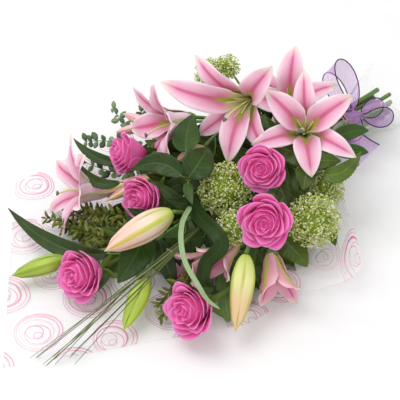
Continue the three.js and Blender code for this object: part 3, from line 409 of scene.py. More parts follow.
def band_grid(line: Array, half: Array, fold: float, columns: int) -> Array:
    """Grid of a long leaf that faces the showy side and is folded up along its middle.

    Args:
        line: (rows, 3) places of its midrib.
        half: half width at each place.
        fold: rise of the edge as a share of the half width.
        columns: places across.

    Returns:
        (rows, columns, 3) places: midrib plus u half widths sideways and fold times the
        rounded |u| half widths upwards.
    """
    along = unit(np.gradient(line, axis=0))
    side = unit(np.cross(along, SHOW_OUT))
    lift = np.cross(side, along)
    u = np.linspace(1, -1, columns)[None, :, None]
    rise = fold * (np.sqrt(u * u + 0.02) - 0.14)
    return line[:, None] + half[:, None, None] * (side[:, None] * u + lift[:, None] * rise)


def scatter(
    form: tuple[Array, Array, Array],
    places: Array,
    axes: Array,
    tone: Array,
) -> Patch:
    """Many copies of one small closed form.

    Args:
        form: its points, its three-cornered faces and the faces' UV.
        places: (count, 3) origins of the copies.
        axes: (count, 3, 3) their x, y and z directions as columns, with their sizes.
        tone: shade of each copy.

    Returns:
        One patch of all the copies.
    """
    points, faces, uv = form
    moved = np.einsum("cij,pj->cpi", axes, points) + places[:, None]
    shift = np.arange(len(places))[:, None, None] * len(points)
    return patch_of(
        moved.reshape(-1, 3),
        [(faces[None] + shift).reshape(-1, 3)],
        [np.tile(uv, (len(places), 1, 1))],
        np.repeat(tone, len(points)),
    )


# ---- finishes


def linear(colour: str) -> tuple[float, float, float, float]:
    """Linear RGBA of an sRGB hex colour such as '#d87b9e'."""
    parts = [int(colour[k:k + 2], 16) / 255 for k in (1, 3, 5)]
    return (*[c / 12.92 if c <= 0.04045 else ((c + 0.055) / 1.055) ** 2.4 for c in parts], 1.0)


def add_node(
    tree: NodeTree, kind: str, inputs: dict | None = None, out: int | str = 0,
    stops: Sequence[tuple[float, str]] = (), **settings,
) -> NodeSocket:
    """Adds one shader node.

    Args:
        tree: node tree to add to.
        kind: node type without 'ShaderNode'.
        inputs: socket names or numbers, each with a value, a hex colour or another node's output.
        out: the output to return.
        stops: rising positions with hex colours, for a node that holds a colour ramp.
        settings: the node's own settings.

    Returns:
        The chosen output socket, or the node's first input where it has no output.
    """
    node = tree.nodes.new("ShaderNode" + kind)
    for key, value in settings.items():
        setattr(node, key, value)
    for key, value in (inputs or {}).items():
        if isinstance(value, NodeSocket):
            tree.links.new(value, node.inputs[key])
        else:
            node.inputs[key].default_value = linear(value) if isinstance(value, str) else value
    if stops:
        ramp = node.color_ramp
        while len(ramp.elements) < len(stops):
            ramp.elements.new(0.5)
        for element, (position, colour) in zip(ramp.elements, stops):
            element.position = position
            element.color = linear(colour)
    return node.outputs[out] if node.outputs else node.inputs[0]


Adder = Callable[..., NodeSocket]
SMOOTH = {"interpolation_type": "SMOOTHSTEP"}
COLOURS = {"out": 2, "data_type": "RGBA"}


@dataclass(frozen=True)
class Finish:
    """What every finish shares: name, roughness, gloss, and the light let into it: how much of
    it, how deep it goes and in which colour it comes out again."""

    name: str
    roughness: float = 0.5
    subsurface: float = 0.0
    sheen: float = 0.0
    coat: float = 0.0
    specular: float = 0.5
    glow: tuple[float, float, float] = (1.0, 0.5, 0.5)
    depth: float = 2.5 * MM

    def dress(self, add: Adder) -> dict:
        """The shader's sockets that a finish works out with nodes: none, if it has no own way."""
        return {}

    def material(self) -> bpy.types.Material:
        """The finish as a material, made once."""
        known = bpy.data.materials.get(self.name)
        if known:
            return known
        made = bpy.data.materials.new(self.name)
        made.use_nodes = True
        made.node_tree.nodes.clear()
        add = partial(add_node, made.node_tree)
        sockets = {
            "Roughness": self.roughness,
            "Subsurface Weight": self.subsurface,
            "Subsurface Radius": self.glow,
            "Subsurface Scale": self.depth,
            "Specular IOR Level": self.specular,
            "Sheen Weight": self.sheen,
            "Coat Weight": self.coat,
            "Coat Roughness": 0.3,
        }
        sockets.update(self.dress(add))
        shader = add("BsdfPrincipled", sockets)
        add("OutputMaterial", {"Surface": shader})
        return made


def uv_parts(add: Adder) -> tuple[NodeSocket, NodeSocket]:
    """The UV map's two parts: across and along."""
    split = add("SeparateXYZ", {0: add("TexCoord", out="UV")}).node
    return split.outputs[0], split.outputs[1]


def from_midrib(add: Adder, across: NodeSocket) -> NodeSocket:
    """Distance from the midrib, 0 on it and 1 at the edge: |2 across - 1|."""
    doubled = add("Math", {0: across, 1: 2.0, 2: -1.0}, operation="MULTIPLY_ADD")
    return add("Math", {0: doubled}, operation="ABSOLUTE")


def fibres(add: Adder, across: float, along: float) -> NodeSocket:
    """Noise drawn out along a leaf or petal: its UV times the given counts."""
    flat = add("TexCoord", out="UV")
    stretched = add("Mapping", {"Vector": flat, "Scale": (across, along, 1.0)})
    return add("TexNoise", {"Vector": stretched, "Scale": 1.0, "Detail": 3.0})


def specks(add: Adder, per_metre: float, detail: float = 2.0) -> NodeSocket:
    """Even noise with so many specks to a metre."""
    place = add("TexCoord", out="Object")
    return add("TexNoise", {"Vector": place, "Scale": per_metre, "Detail": detail})


class Veins(Enum):
    """How the veins of a leaf run."""

    PARALLEL = "along the leaf"
    FEATHER = "from the midrib to the edge"


@dataclass(frozen=True, kw_only=True)
class LeafFinish(Finish):
    """Living leaf: waxy skin over green flesh, with paler veins pressed into it and a dull back.

    Its blotches are 17 mm across, 60 to a metre.
    """

    face: str
    light: str
    back: str
    vein: str
    veins: Veins = Veins.FEATHER
    count: float

    def dress(self, add: Adder) -> dict:
        """Colour by blotches, veins and side, and a bump over the veins.

        Returns:
            Base colour and normal.
        """
        across, along = uv_parts(add)
        away = from_midrib(add, across)
        if self.veins is Veins.FEATHER:
            slant = add("Math", {0: away, 1: -1.6}, operation="MULTIPLY")
            phase = add("Math", {0: along, 1: self.count, 2: slant}, operation="MULTIPLY_ADD")
            strength = 0.2
        else:
            phase = add("Math", {0: across, 1: self.count}, operation="MULTIPLY")
            strength = 0.14
        turns = add("Math", {0: phase, 1: TAU}, operation="MULTIPLY")
        wave = add("Math", {0: turns}, operation="SINE")
        lines, rib = (
            add("MapRange", dict(enumerate(span)), **SMOOTH)
            for span in ((wave, 0.86, 1.0, 0.0, strength), (away, 0.01, 0.08, 0.5, 0.0))
        )
        mask = add("Math", {0: lines, 1: rib}, operation="MAXIMUM")
        tone = add("Attribute", out="Fac", attribute_name="tone")
        shade = add("Math", {0: specks(add, 60.0, 4.0), 1: tone}, operation="ADD")
        share = add("MapRange", {0: shade, 1: 0.55, 2: 1.5})
        skin = add("Mix", {0: share, 6: self.face, 7: self.light}, **COLOURS)
        veined = add("Mix", {0: mask, 6: skin, 7: self.vein}, **COLOURS)
        side = add("Attribute", out="Fac", attribute_name="side")
        colour = add("Mix", {0: side, 6: self.back, 7: veined}, **COLOURS)
        fine = add("Math", {0: fibres(add, 50, 60), 1: 0.35}, operation="MULTIPLY")
        height = add("Math", {0: fine, 1: mask}, operation="SUBTRACT")
        bump = add("Bump", {"Height": height, "Strength": 0.5, "Distance": 0.6 * MM})
        return {"Base Color": colour, "Normal": bump}


@dataclass(frozen=True)
class TepalFinish(Finish):
    """Lily tepal: soft flesh, pale at the edge and deep pink at the midrib, green in the throat.

    Across its 38 mm lie 34 fine ridges, and its few freckles are 3 mm apart, 300 to a metre.
    """

    edge: str = "#f6dce6"
    pale: str = "#f0c2d4"
    body: str = "#e6a2bf"
    rib: str = "#d06a92"
    heart: str = "#c04a78"
    throat: str = "#a4b43a"
    cream: str = "#f0e6d4"
    nectar: str = "#e4e2a8"
    back: str = "#ecc6d6"
    back_rib: str = "#b4c088"
    freckle: str = "#c04a78"

    def dress(self, add: Adder) -> dict:
        """Colour across the tepal, freckles near the throat, lengthwise ridges.

        Each mask below reads a value between two bounds and goes from its first strength to
        its second.

        Returns:
            Base colour and normal.
        """
        across, along = uv_parts(add)
        away = from_midrib(add, across)
        ridge = fibres(add, 34, 2.2)
        wobble = add("MapRange", {0: ridge, 3: -0.16, 4: 0.16})
        spread = add("Math", {0: away, 1: wobble}, operation="ADD")
        flesh, inside, behind = (
            add("ValToRGB", {0: spread}, stops=stops)
            for stops in (
                [(0, self.rib), (0.05, self.rib), (0.22, self.body), (0.6, self.pale),
                 (1, self.edge)],
                [(0, self.heart), (0.12, self.heart), (0.34, self.rib), (0.7, self.body),
                 (1, self.pale)],
                [(0, self.back_rib), (0.08, self.back_rib), (0.22, self.back), (0.9, self.edge)],
            )
        )
        low, deep, reach, furrow, groove = (
            add("MapRange", dict(enumerate(span)), **SMOOTH)
            for span in (
                (along, 0.3, 0.74, 0.8, 0.0), (along, 0.26, 0.46, 0.9, 0.0),
                (along, 0.4, 0.56, 0.95, 0.0), (spread, 0.08, 0.2, 1.0, 0.0),
                (away, 0.0, 0.2, -0.8, 0.0),
            )
        )
        place = add("TexCoord", out="Object")
        dots = add("TexVoronoi", {"Vector": place, "Scale": 300.0, "Randomness": 0.9})
        tipped, dot, near, inner = (
            add("MapRange", dict(enumerate(span)))
            for span in (
                (along, 0.84, 1.0, 0.0, 0.85), (dots, 0.22, 0.34, 1.0, 0.0),
                (along, 0.25, 0.55, 0.6, 0.0), (away, 0.3, 0.75, 1.0, 0.0),
            )
        )
        speck = add("Math", {0: dot, 1: near}, operation="MULTIPLY")
        speck = add("Math", {0: speck, 1: inner}, operation="MULTIPLY")
        furrow = add("Math", {0: furrow, 1: reach}, operation="MULTIPLY")
        layers = (
            (low, inside), (tipped, self.cream), (speck, self.freckle), (deep, self.nectar),
            (furrow, self.throat),
        )
        for mask, shade in layers:
            flesh = add("Mix", {0: mask, 6: flesh, 7: shade}, **COLOURS)
        side = add("Attribute", out="Fac", attribute_name="side")
        colour = add("Mix", {0: side, 6: behind, 7: flesh}, **COLOURS)
        height = add("Math", {0: ridge, 1: groove}, operation="ADD")
        height = add("Math", {0: height, 1: speck}, operation="ADD")
        bump = add("Bump", {"Height": height, "Strength": 0.5, "Distance": 0.7 * MM})
        return {"Base Color": colour, "Normal": bump}


@dataclass(frozen=True)
class RosePetalFinish(Finish):
    """Rose petal: velvety cells that let light in and glow magenta in the folds, with painted
    shade in the deep root and the inner petals, and a painted highlight on the paler rim.
    """

    # The deep root colour is painted shade, and the paler rim colour is a painted highlight.
    root: str = "#dc3a92"
    body: str = "#ec76b8"
    rim: str = "#f08cc4"

    def dress(self, add: Adder) -> dict:
        """Colour from painted shade at the root to a painted highlight at the rim, with fine
        lengthwise veins, and more painted shade on the inner petals.

        Returns:
            Base colour and normal.
        """
        _, along = uv_parts(add)
        vein = fibres(add, 26, 3.0)
        wobble = add("MapRange", {0: vein, 3: -0.09, 4: 0.09})
        height = add("Math", {0: along, 1: wobble}, operation="ADD")
        stops = [(0.1, self.root), (0.55, self.body), (0.86, self.body), (1.0, self.rim)]
        petal = add("ValToRGB", {0: height}, stops=stops)
        tone = add("Attribute", out="Fac", attribute_name="tone")
        # Inner petals of low tone lean to the root colour: painted shade in the heart.
        deep = add("MapRange", {0: tone, 3: 0.3, 4: 0.0})
        colour = add("Mix", {0: deep, 6: petal, 7: self.root}, **COLOURS)
        bump = add("Bump", {"Height": vein, "Strength": 0.35, "Distance": 0.5 * MM})
        return {"Base Color": colour, "Normal": bump}


@dataclass(frozen=True, kw_only=True)
class BudFinish(Finish):
    """Closed lily bud: three fleshy tepals, each with a green rib, that meet in shallow seams.

    The colour of each tepal passes from flank at the foot to cheek at the tip.
    """

    flank: str
    ridge: str
    foot: str
    seam: str
    cheek: str

    def dress(self, add: Adder) -> dict:
        """Colour by the three ribs round the bud and from foot to tip.

        Returns:
            Base colour and normal.
        """
        across, along = uv_parts(add)
        angle = add("Math", {0: across, 1: 3 * TAU}, operation="MULTIPLY")
        rib = add("Math", {0: angle}, operation="COSINE")
        line = fibres(add, 60, 2.5)
        wobble = add("MapRange", {0: line, 3: -0.3, 4: 0.3})
        rib = add("Math", {0: rib, 1: wobble}, operation="ADD")
        share = add("MapRange", {0: rib, 1: -1.0, 2: 1.0})
        lower = add("MapRange", {0: along, 1: 0.3, 2: 0.7}, **SMOOTH)
        flank = add("Mix", {0: lower, 6: self.flank, 7: self.cheek}, **COLOURS)
        skin = add(
            "ValToRGB", {0: share},
            stops=[(0, self.seam), (0.05, WHITE), (0.88, WHITE), (0.97, self.ridge)],
        )
        skin = add("Mix", {0: 1.0, 6: skin, 7: flank}, blend_type="MULTIPLY", **COLOURS)
        foot = add(
            "ValToRGB", {0: along},
            stops=[(0, WHITE), (0.1, "#d0d0d0"), (0.34, "#303030"), (0.6, "#101010")],
        )
        colour = add("Mix", {0: foot, 6: skin, 7: self.foot}, **COLOURS)
        bump = add("Bump", {"Height": line, "Strength": 0.5, "Distance": 0.7 * MM})
        return {"Base Color": colour, "Normal": bump}


@dataclass(frozen=True, kw_only=True)
class StemFinish(Finish):
    """Green stem: a smooth skin with fine lengthwise fibres and darker blotches."""

    skin: str
    shade: str

    def dress(self, add: Adder) -> dict:
        """Base colour by drawn-out fibres, and their bump as normal."""
        streak = fibres(add, 14, 9)
        colour = add("ValToRGB", {0: streak}, stops=[(0.3, self.shade), (0.65, self.skin)])
        bump = add("Bump", {"Height": streak, "Strength": 0.3, "Distance": 0.3 * MM})
        return {"Base Color": colour, "Normal": bump}


@dataclass(frozen=True, kw_only=True)
class ToneFinish(Finish):
    """Many tiny living parts: each takes its colour from its own tone, mottled every 1.4 mm."""

    stops: tuple[tuple[float, str], ...]

    def dress(self, add: Adder) -> dict:
        """Base colour by tone plus a little noise."""
        tone = add("Attribute", out="Fac", attribute_name="tone")
        mottle = add("MapRange", {0: specks(add, 700.0), 3: -0.15, 4: 0.15})
        shade = add("Math", {0: tone, 1: mottle}, operation="ADD")
        return {"Base Color": add("ValToRGB", {0: shade}, stops=self.stops)}


@dataclass(frozen=True)
class RibbonFinish(Finish):
    """Organza: a sheer weave of warp and weft whose hue shifts with the view; the shift is painted
    as slow bands of the warp and weft colours, a painted sheen. Its real threads, 0.2 mm apart,
    are too fine to show, so 25 broader bands cross the ribbon's width."""

    warp: str = "#df7cda"
    weft: str = "#b98ee2"

    def dress(self, add: Adder) -> dict:
        """Base colour by broad bands of painted sheen along the ribbon, and an even thread pattern
        as alpha.
        """
        place = add("TexCoord", out="UV")
        # Slow noise between warp and weft colour: painted sheen for the hue that shifts with the
        # view.
        broad = add("TexNoise", {"Vector": place, "Scale": 3.0, "Detail": 2.0})
        colour = add("ValToRGB", {0: broad}, stops=[(0.35, self.warp), (0.62, self.weft)])
        thread = add("TexWave", {"Vector": place, "Scale": 8.0, "Distortion": 0.6})
        alpha = add("MapRange", {0: thread, 3: 0.16, 4: 0.36})
        return {"Base Color": colour, "Alpha": alpha}


@dataclass(frozen=True)
class FilmFinish(Finish):
    """Clear film printed in two pinks with nests of rings, one nest to each 67 mm (15 to a
    metre), and left plain towards the stems."""

    light: str = "#f6a6cc"
    strong: str = "#f0529f"
    clear: float = 0.12
    per_metre: float = 15.0
    shift: float = 0.35
    plain_from: float = 0.17
    fine: tuple[tuple[float, float, float, float], ...] = (
        (1.0, 0.0, 0.0, 0.007), (0.88, 0.02, 0.01, 0.006), (0.52, 0.08, -0.03, 0.006),
        (0.36, 0.1, 0.04, 0.006), (0.18, 0.08, -0.06, 0.006),
    )
    bold: tuple[tuple[float, float, float, float], ...] = ((0.7, 0.05, 0.02, 0.011),)

    def rings(
        self, add: Adder, nest: Sequence[tuple[float, float, float, float]],
    ) -> tuple[NodeSocket, NodeSocket]:
        """Nests of rings round scattered centres.

        A place is on a ring where its distance from the ring's own middle, bent a little by
        slow noise, misses the ring's radius by less than the line's half width, which swells
        from one side to the other.

        Args:
            add: adds a node to the material.
            nest: for each ring its radius as a share of the nest's, how far it is set aside
                in x and in y, and the half width of its line, as shares of a nest's spacing.

        Returns:
            The mask of the lines and a random value of each nest.
        """
        place = add("TexCoord", out="UV")
        size, start = (self.per_metre, self.per_metre, 1.0), (self.shift, 0.6 * self.shift, 0.0)
        flat = add("Mapping", {"Vector": place, "Scale": size, "Location": start})
        cells = add(
            "TexVoronoi", {"Vector": flat, "Scale": 1.0, "Randomness": 0.3},
            voronoi_dimensions="2D",
        ).node
        middle, draw = cells.outputs["Position"], cells.outputs["Color"]
        offset = add("VectorMath", {0: flat, 1: middle}, operation="SUBTRACT")
        slow = add("TexNoise", {"Vector": flat, "Scale": 1.6, "Detail": 0.0}, "Color")
        bent = add(
            "VectorMath", {0: slow, 1: (0.08, 0.08, 0.0), 2: (-0.04, -0.04, 0.0)},
            operation="MULTIPLY_ADD",
        )
        offset = add("VectorMath", {0: offset, 1: bent}, operation="ADD")
        chance = add("SeparateColor", {0: draw}).node
        reach = add("MapRange", {0: chance.outputs[0], 3: 0.34, 4: 0.46})
        way = add("MapRange", {0: chance.outputs[2], 3: -1.0, 4: 1.0})
        right = add("SeparateXYZ", {0: offset})
        mask = None
        for share, aside, up, line in nest:
            aside = add("Math", {0: way, 1: aside}, operation="MULTIPLY")
            moved = add("CombineXYZ", {0: aside, 1: up})
            length = add("VectorMath", {0: offset, 1: moved}, "Value", operation="DISTANCE")
            radius = add("Math", {0: reach, 1: share}, operation="MULTIPLY")
            miss = add("Math", {0: length, 1: radius}, operation="SUBTRACT")
            miss = add("Math", {0: miss}, operation="ABSOLUTE")
            fat = add("MapRange", {0: right, 1: -0.3, 2: 0.3, 3: 0.6 * line, 4: 1.4 * line})
            close = add("Math", {0: miss, 1: fat}, operation="LESS_THAN")
            mask = close if mask is None else add("Math", {0: mask, 1: close}, operation="MAXIMUM")
        return mask, chance.outputs[1]

    def dress(self, add: Adder) -> dict:
        """Thin pale rings with one stronger ring in half the nests; the film itself only glints.

        Returns:
            Base colour and alpha.
        """
        fine, _ = self.rings(add, self.fine)
        bold, choice = self.rings(add, self.bold)
        inked = add("MapRange", {0: choice, 1: 0.45, 2: 0.9, 3: 0.12, 4: 0.85})
        strong = add("Math", {0: bold, 1: inked}, operation="MULTIPLY")
        pale = add("Math", {0: fine, 1: 0.34}, operation="MULTIPLY")
        ink = add("Math", {0: strong, 1: pale}, operation="MAXIMUM")
        place = add("SeparateXYZ", {0: add("TexCoord", out="Object")})
        span = {1: self.plain_from - 0.05, 2: self.plain_from, 3: 1.0, 4: 0.0}
        printed = add("MapRange", {0: place, **span})
        ink = add("Math", {0: ink, 1: printed}, operation="MULTIPLY")
        alpha = add("MapRange", {0: ink, 3: self.clear, 4: 0.95})
        hue = add("Mix", {0: strong, 6: self.light, 7: self.strong}, **COLOURS)
        there = add("MapRange", {0: ink, 1: 0.02, 2: 0.2})
        colour = add("Mix", {0: there, 6: WHITE, 7: hue}, **COLOURS)
        return {"Base Color": colour, "Alpha": alpha}


@dataclass(frozen=True, kw_only=True)
class PlainFinish(Finish):
    """A surface of one colour with a fine grain in it, 2.5 mm where no count is given."""

    colour: str
    grain: str
    per_metre: float = 400.0

    def dress(self, add: Adder) -> dict:
        """Base colour by fine noise."""
        stops = [(0.4, self.grain), (0.6, self.colour)]
        noise = specks(add, self.per_metre)
        return {"Base Color": add("ValToRGB", {0: noise}, stops=stops)}


# Petals: velvet cells on the rose scatter light, lily flesh is smooth and lets light through.
PINK_GLOW = (1.0, 0.5, 0.6)
ROSE_PETAL = RosePetalFinish(
    "rose_petal_velvet", 0.65, 0.5, 0.04, specular=0.25, glow=(1.0, 0.3, 0.6),
)
# Heart: a dome that fills the bottom of the gaps between the inner petals, in a deeper pink that
# paints shade there.
ROSE_HEART = PlainFinish(
    "rose_heart_shade_fill", 0.7, 0.3, colour="#e0549f", grain="#d2408e", per_metre=300,
)
TEPAL = TepalFinish("lily_tepal_flesh", 0.45, 0.3, specular=0.35, glow=PINK_GLOW)
YOUNG_TEPAL = TepalFinish(
    "young_tepal_flesh", 0.45, 0.3, specular=0.35, glow=PINK_GLOW, edge="#f2c2cc",
    pale="#eab0be", back="#e69fae", back_rib="#bccb66",
)
# Leaves: wax gives the broad ones a soft gloss, down makes the folded one dull.
ROSE_LEAF = LeafFinish(
    "rose_leaf_skin", 0.42, 0.05, coat=0.1, specular=0.35, face="#33460d", light="#5c781a",
    back="#7a9050", vein="#88a048", count=8,
)
LILY_LEAF = LeafFinish(
    "lily_leaf_skin", 0.42, 0.05, coat=0.06, specular=0.3, face="#20340b", light="#3c5618",
    back="#5f7c40", vein="#5f8040", veins=Veins.PARALLEL, count=9,
)
SALAL_LEAF = LeafFinish(
    "salal_leaf_wax", 0.4, 0.05, coat=0.08, specular=0.25, face="#22380c", light="#3b5a16",
    back="#6c8858", vein="#54783a", count=7,
)
STRAP_LEAF = LeafFinish(
    "strap_leaf_skin", 0.45, 0.05, coat=0.04, specular=0.2, face="#182807", light="#2c4612",
    back="#345424", vein="#345a24", veins=Veins.PARALLEL, count=7,
)
STRIP_LEAF = LeafFinish(
    "striped_leaf_skin", 0.5, 0.1, face="#7f9c68", light="#9cb486", back="#8aa474",
    vein="#d4dcb8", veins=Veins.PARALLEL, count=3,
)
MATTE_LEAF = LeafFinish(
    "matte_leaf_down", 0.75, 0.1, specular=0.3, face="#54743c", light="#7a9858", back="#86a070",
    vein="#9cb480", veins=Veins.PARALLEL, count=12,
)
# Stems, florets and small foliage: thin skins without gloss.
ROSE_STEM = StemFinish("rose_stem_skin", 0.5, skin="#6a8a34", shade="#4a6a24")
LILY_STEM = StemFinish("lily_stem_skin", 0.42, skin="#6c9040", shade="#46682a")
FINE_STEM = StemFinish("fine_stem_skin", 0.6, skin="#7c8c3c", shade="#5a6c2c")
CUT_END = PlainFinish("cut_stem_pith", 0.8, colour="#b8c090", grain="#a08a68", per_metre=900)
# Low tones give the dark green of the ball of painted shade inside each head and of the stalks;
# higher tones give the lime and cream florets.
UMBEL = ToneFinish("umbel_florets", 0.7, 0.1, specular=0.3, stops=(
    (0.0, "#5e7a24"), (0.14, "#a4bc42"), (0.4, "#c4d462"), (0.66, "#e6eaa8"), (1.0, "#fffdea"),
))
FILAMENT = ToneFinish("lily_filament", 0.45, stops=(
    (0.0, "#6a6068"), (0.4, "#6a6068"), (0.6, "#e6e6a8"), (1.0, "#c6d078"),
))
GREY_LEAF = ToneFinish("eucalyptus_bloom", 0.75, stops=((0.0, "#54744c"), (1.0, "#93ab7c")))
OLIVE_LEAF = ToneFinish("filler_leaf", 0.7, stops=((0.0, "#56641e"), (1.0, "#98a044")))
GRASS = ToneFinish("bear_grass", 0.5, stops=((0.0, "#3c4c22"), (1.0, "#7c8c4c")))
# Made things: sheer woven organza with a wire in its hem, jute twine, cast clear film.
ORGANZA = RibbonFinish("organza_weave", 0.35, sheen=0.5)
WIRE = PlainFinish("ribbon_edge_wire", 0.35, specular=0.2, colour="#241a4a", grain="#1c1440")
TWINE = PlainFinish("binding_twine", 0.9, colour="#cdbd90", grain="#a8946a")
FILM = FilmFinish("printed_clear_film", 0.12)
FLOOR = PlainFinish("floor_paint", 0.9, colour="#f4f4f4", grain="#f2f2f2", per_metre=20)


# ---- pieces


@dataclass
class Piece:
    """One object of the scene: its patches and finishes, its slot and the nodes it stands for."""

    name: str
    slot: str
    stands_for: tuple[str, ...] = ()
    parts: list[tuple[Patch, Finish]] = field(default_factory=list)

    def add(self, patch: Patch, finish: Finish) -> None:
        """Adds a patch in a finish."""
        self.parts.append((patch, finish))

    def build(self, rides: bool = True) -> bpy.types.Object:
        """Makes the mesh object and tells the frame about it.

        Args:
            rides: whether it belongs to the bouquet.

        Returns:
            The object, at the origin, its place in its mesh.
        """
        patches = [patch for patch, _ in self.parts]
        finishes = list(dict.fromkeys(finish for _, finish in self.parts))
        shift = np.cumsum([0] + [len(patch.points) for patch in patches[:-1]])
        sizes = np.concatenate([patch.sizes for patch in patches])
        corners = np.concatenate([patch.corners + s for patch, s in zip(patches, shift)])
        mesh = bpy.data.meshes.new(self.name)
        points = np.concatenate([patch.points for patch in patches]) * MM
        if rides:
            points[:, 2] = np.maximum(points[:, 2], 0)  # nothing reaches below the table
        mesh.vertices.add(len(points))
        mesh.vertices.foreach_set("co", points.astype(np.float32).ravel())
        mesh.loops.add(len(corners))
        mesh.loops.foreach_set("vertex_index", corners.astype(np.int32))
        mesh.polygons.add(len(sizes))
        starts = np.concatenate([[0], np.cumsum(sizes)[:-1]])
        mesh.polygons.foreach_set("loop_start", starts.astype(np.int32))
        numbers = np.concatenate([
            np.full(len(patch.sizes), finishes.index(finish)) for patch, finish in self.parts
        ])
        mesh.polygons.foreach_set("material_index", numbers.astype(np.int32))
        mesh.polygons.foreach_set("use_smooth", np.ones(len(sizes), bool))
        uv = np.concatenate([patch.uv for patch in patches]).astype(np.float32)
        mesh.uv_layers.new(name="UVMap").uv.foreach_set("vector", uv.ravel())
        for key in ("tone", "side"):
            values = np.concatenate([getattr(patch, key) for patch in patches])
            layer = mesh.attributes.new(key, "FLOAT", "POINT")
            layer.data.foreach_set("value", values.astype(np.float32))
        mesh.update(calc_edges=True)
        for finish in finishes:
            mesh.materials.append(finish.material())
        made = bpy.data.objects.new(self.name, mesh)
        bpy.context.scene.collection.objects.link(made)
        if rides:
            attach(made, "root")
            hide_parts(*self.stands_for)
            LOG.info("%s: %d faces", self.name, len(sizes))
        return made


# ---- the flowers' places


@dataclass(frozen=True)
class Rose:
    """A rose: middle of its bloom, axis, radius, height and turn."""

    at: Array
    axis: Array
    radius: float
    height: float
    turn: float

    @property
    def base(self) -> Array:
        """Where the petals spring."""
        return self.at - 0.5 * self.height * self.axis


ROSES = [
    Rose(vec(-65, 97, 78), facing(-1, 0.1, 62), 26, 44, 0.2),
    Rose(vec(-88, 37, 64), facing(-0.9, -0.35, 38), 27, 44, 1.1),
    Rose(vec(-203, 6, 36), facing(-1, -0.3, 38), 31, 46, 2.0),
    Rose(vec(-143, -119, 42), facing(-1, -0.2, 36), 31, 46, 0.6),
    Rose(vec(22, -50, 108), facing(-0.8, -0.4, 16), 28, 44, 1.7),
    Rose(vec(-30, -112, 104), facing(-0.6, -0.7, 16), 31, 46, 2.6),
]


@dataclass(frozen=True)
class Lily:
    """A lily: base, axis, depth of its throat, filaments that show, and its tepals, each with
    direction in degrees, length, kind (0 a petal, 1 a sepal) and opening angle at the tip."""

    base: Array
    axis: Array
    depth: float
    filaments: int
    pistil: bool
    tepals: tuple[tuple[float, float, int, float], ...]

    @property
    def length(self) -> float:
        """Length of its first tepal."""
        return self.tepals[0][1]


THROAT_ANGLE = 16
OPEN_TIP = (96, 112)


def open_lily(
    throat: Array, axis: Array, depth: float, tepals: Sequence[tuple[float, float, int]],
) -> Lily:
    """An open lily by the middle of its throat."""
    full = tuple((angle, length, kind, OPEN_TIP[kind]) for angle, length, kind in tepals)
    return Lily(throat - depth * axis, axis, depth, 6, True, full)


def trumpet(
    base: Array, axis: Array, length: float, opening: float,
    angles: Sequence[float], pistil: bool = False,
) -> Lily:
    """A lily that is narrow or half open; petals and sepals take turns.

    Args:
        base: where its tepals spring.
        axis: direction it faces.
        length: length of its tepals.
        opening: 0 for a closed one and 1 for one as open as the flat ones.
        angles: direction of each tepal in degrees.
        pistil: whether its pistil shows.

    Returns:
        The lily.
    """
    tip = THROAT_ANGLE + 92 * opening
    tepals = tuple((angle, length, k % 2, tip) for k, angle in enumerate(angles))
    return Lily(base, axis, 0.35 * length, 0, pistil, tepals)


LILIES = {
    "lily_1": open_lily(
        vec(53, 26, 140), facing(-0.7, -0.5, 26), 42,
        [(128, 112, 1), (157, 138, 0), (44, 96, 0), (-62, 100, 1), (-104, 104, 0), (-148, 96, 1)],
    ),
    "lily_2": open_lily(
        vec(93, -44, 125), facing(-0.1, 0.1, 8), 40,
        [(91, 98, 1), (136, 94, 0), (33, 98, 0), (-30, 98, 1), (-82, 88, 0), (-162, 92, 1)],
    ),
    "lily_3": open_lily(
        vec(134, 27, 96), facing(-0.3, 0.5, 18), 38,
        [(82, 104, 0), (135, 88, 1), (20, 92, 1), (-40, 80, 0), (-105, 78, 1), (172, 84, 0)],
    ),
    "lily_4": trumpet(
        vec(-99, 90, 40), facing(-1, 0.12, 66), 96, 0.8, [95, 150, 35, -25, -85, -150], True,
    ),
    "lily_5": trumpet(
        vec(23, 81, 99), facing(-1, -0.25, 62), 88, 0.7, [60, 120, 180, -120, -60, 0], True,
    ),
    "lily_6": trumpet(vec(-38, -80, 50), facing(-0.75, -0.65, 62), 64, 0.25, [90, 210, 330]),
    "lily_7": trumpet(vec(-20, -113, 46), facing(0.15, -1, 66), 66, 0.22, [60, 150, 240, 330]),
    "lily_8": trumpet(vec(-65, -61, 33), facing(-0.9, -0.5, 62), 62, 0.3, [90, 210, 330]),
}


@dataclass(frozen=True)
class Bud:
    """A closed bud or a pair: base, tips, width and finish."""

    base: Array
    tips: tuple[Array, ...]
    width: float
    finish: BudFinish


BLUSH = BudFinish(
    "bud_blush_skin", 0.45, 0.15, specular=0.3, flank="#f2d8c4", cheek="#f4c8ba", ridge="#d2ee70",
    foot="#b0c450", seam="#cfc890",
)
GREEN = BudFinish(
    "bud_green_skin", 0.42, 0.1, specular=0.3, flank="#b2c654", cheek="#a2b648", ridge="#cfe49a",
    foot="#86a436", seam="#7e9460",
)
LIME = BudFinish(
    "bud_lime_skin", 0.42, 0.1, specular=0.3, flank="#c4d85a", cheek="#b4cc50", ridge="#d8ecac",
    foot="#9cba44", seam="#8ca060",
)
CREAM = BudFinish(
    "bud_cream_skin", 0.45, 0.15, specular=0.3, flank="#dfe19a", cheek="#e2c698", ridge="#d4e488",
    foot="#b4c85c", seam="#dcd0a0",
)
ROSY = BudFinish(
    "bud_rosy_skin", 0.45, 0.15, specular=0.3, flank="#f4d4d0", cheek="#f2bcc8", ridge="#e0e09c",
    foot="#b8c070", seam="#ecc0c4",
)

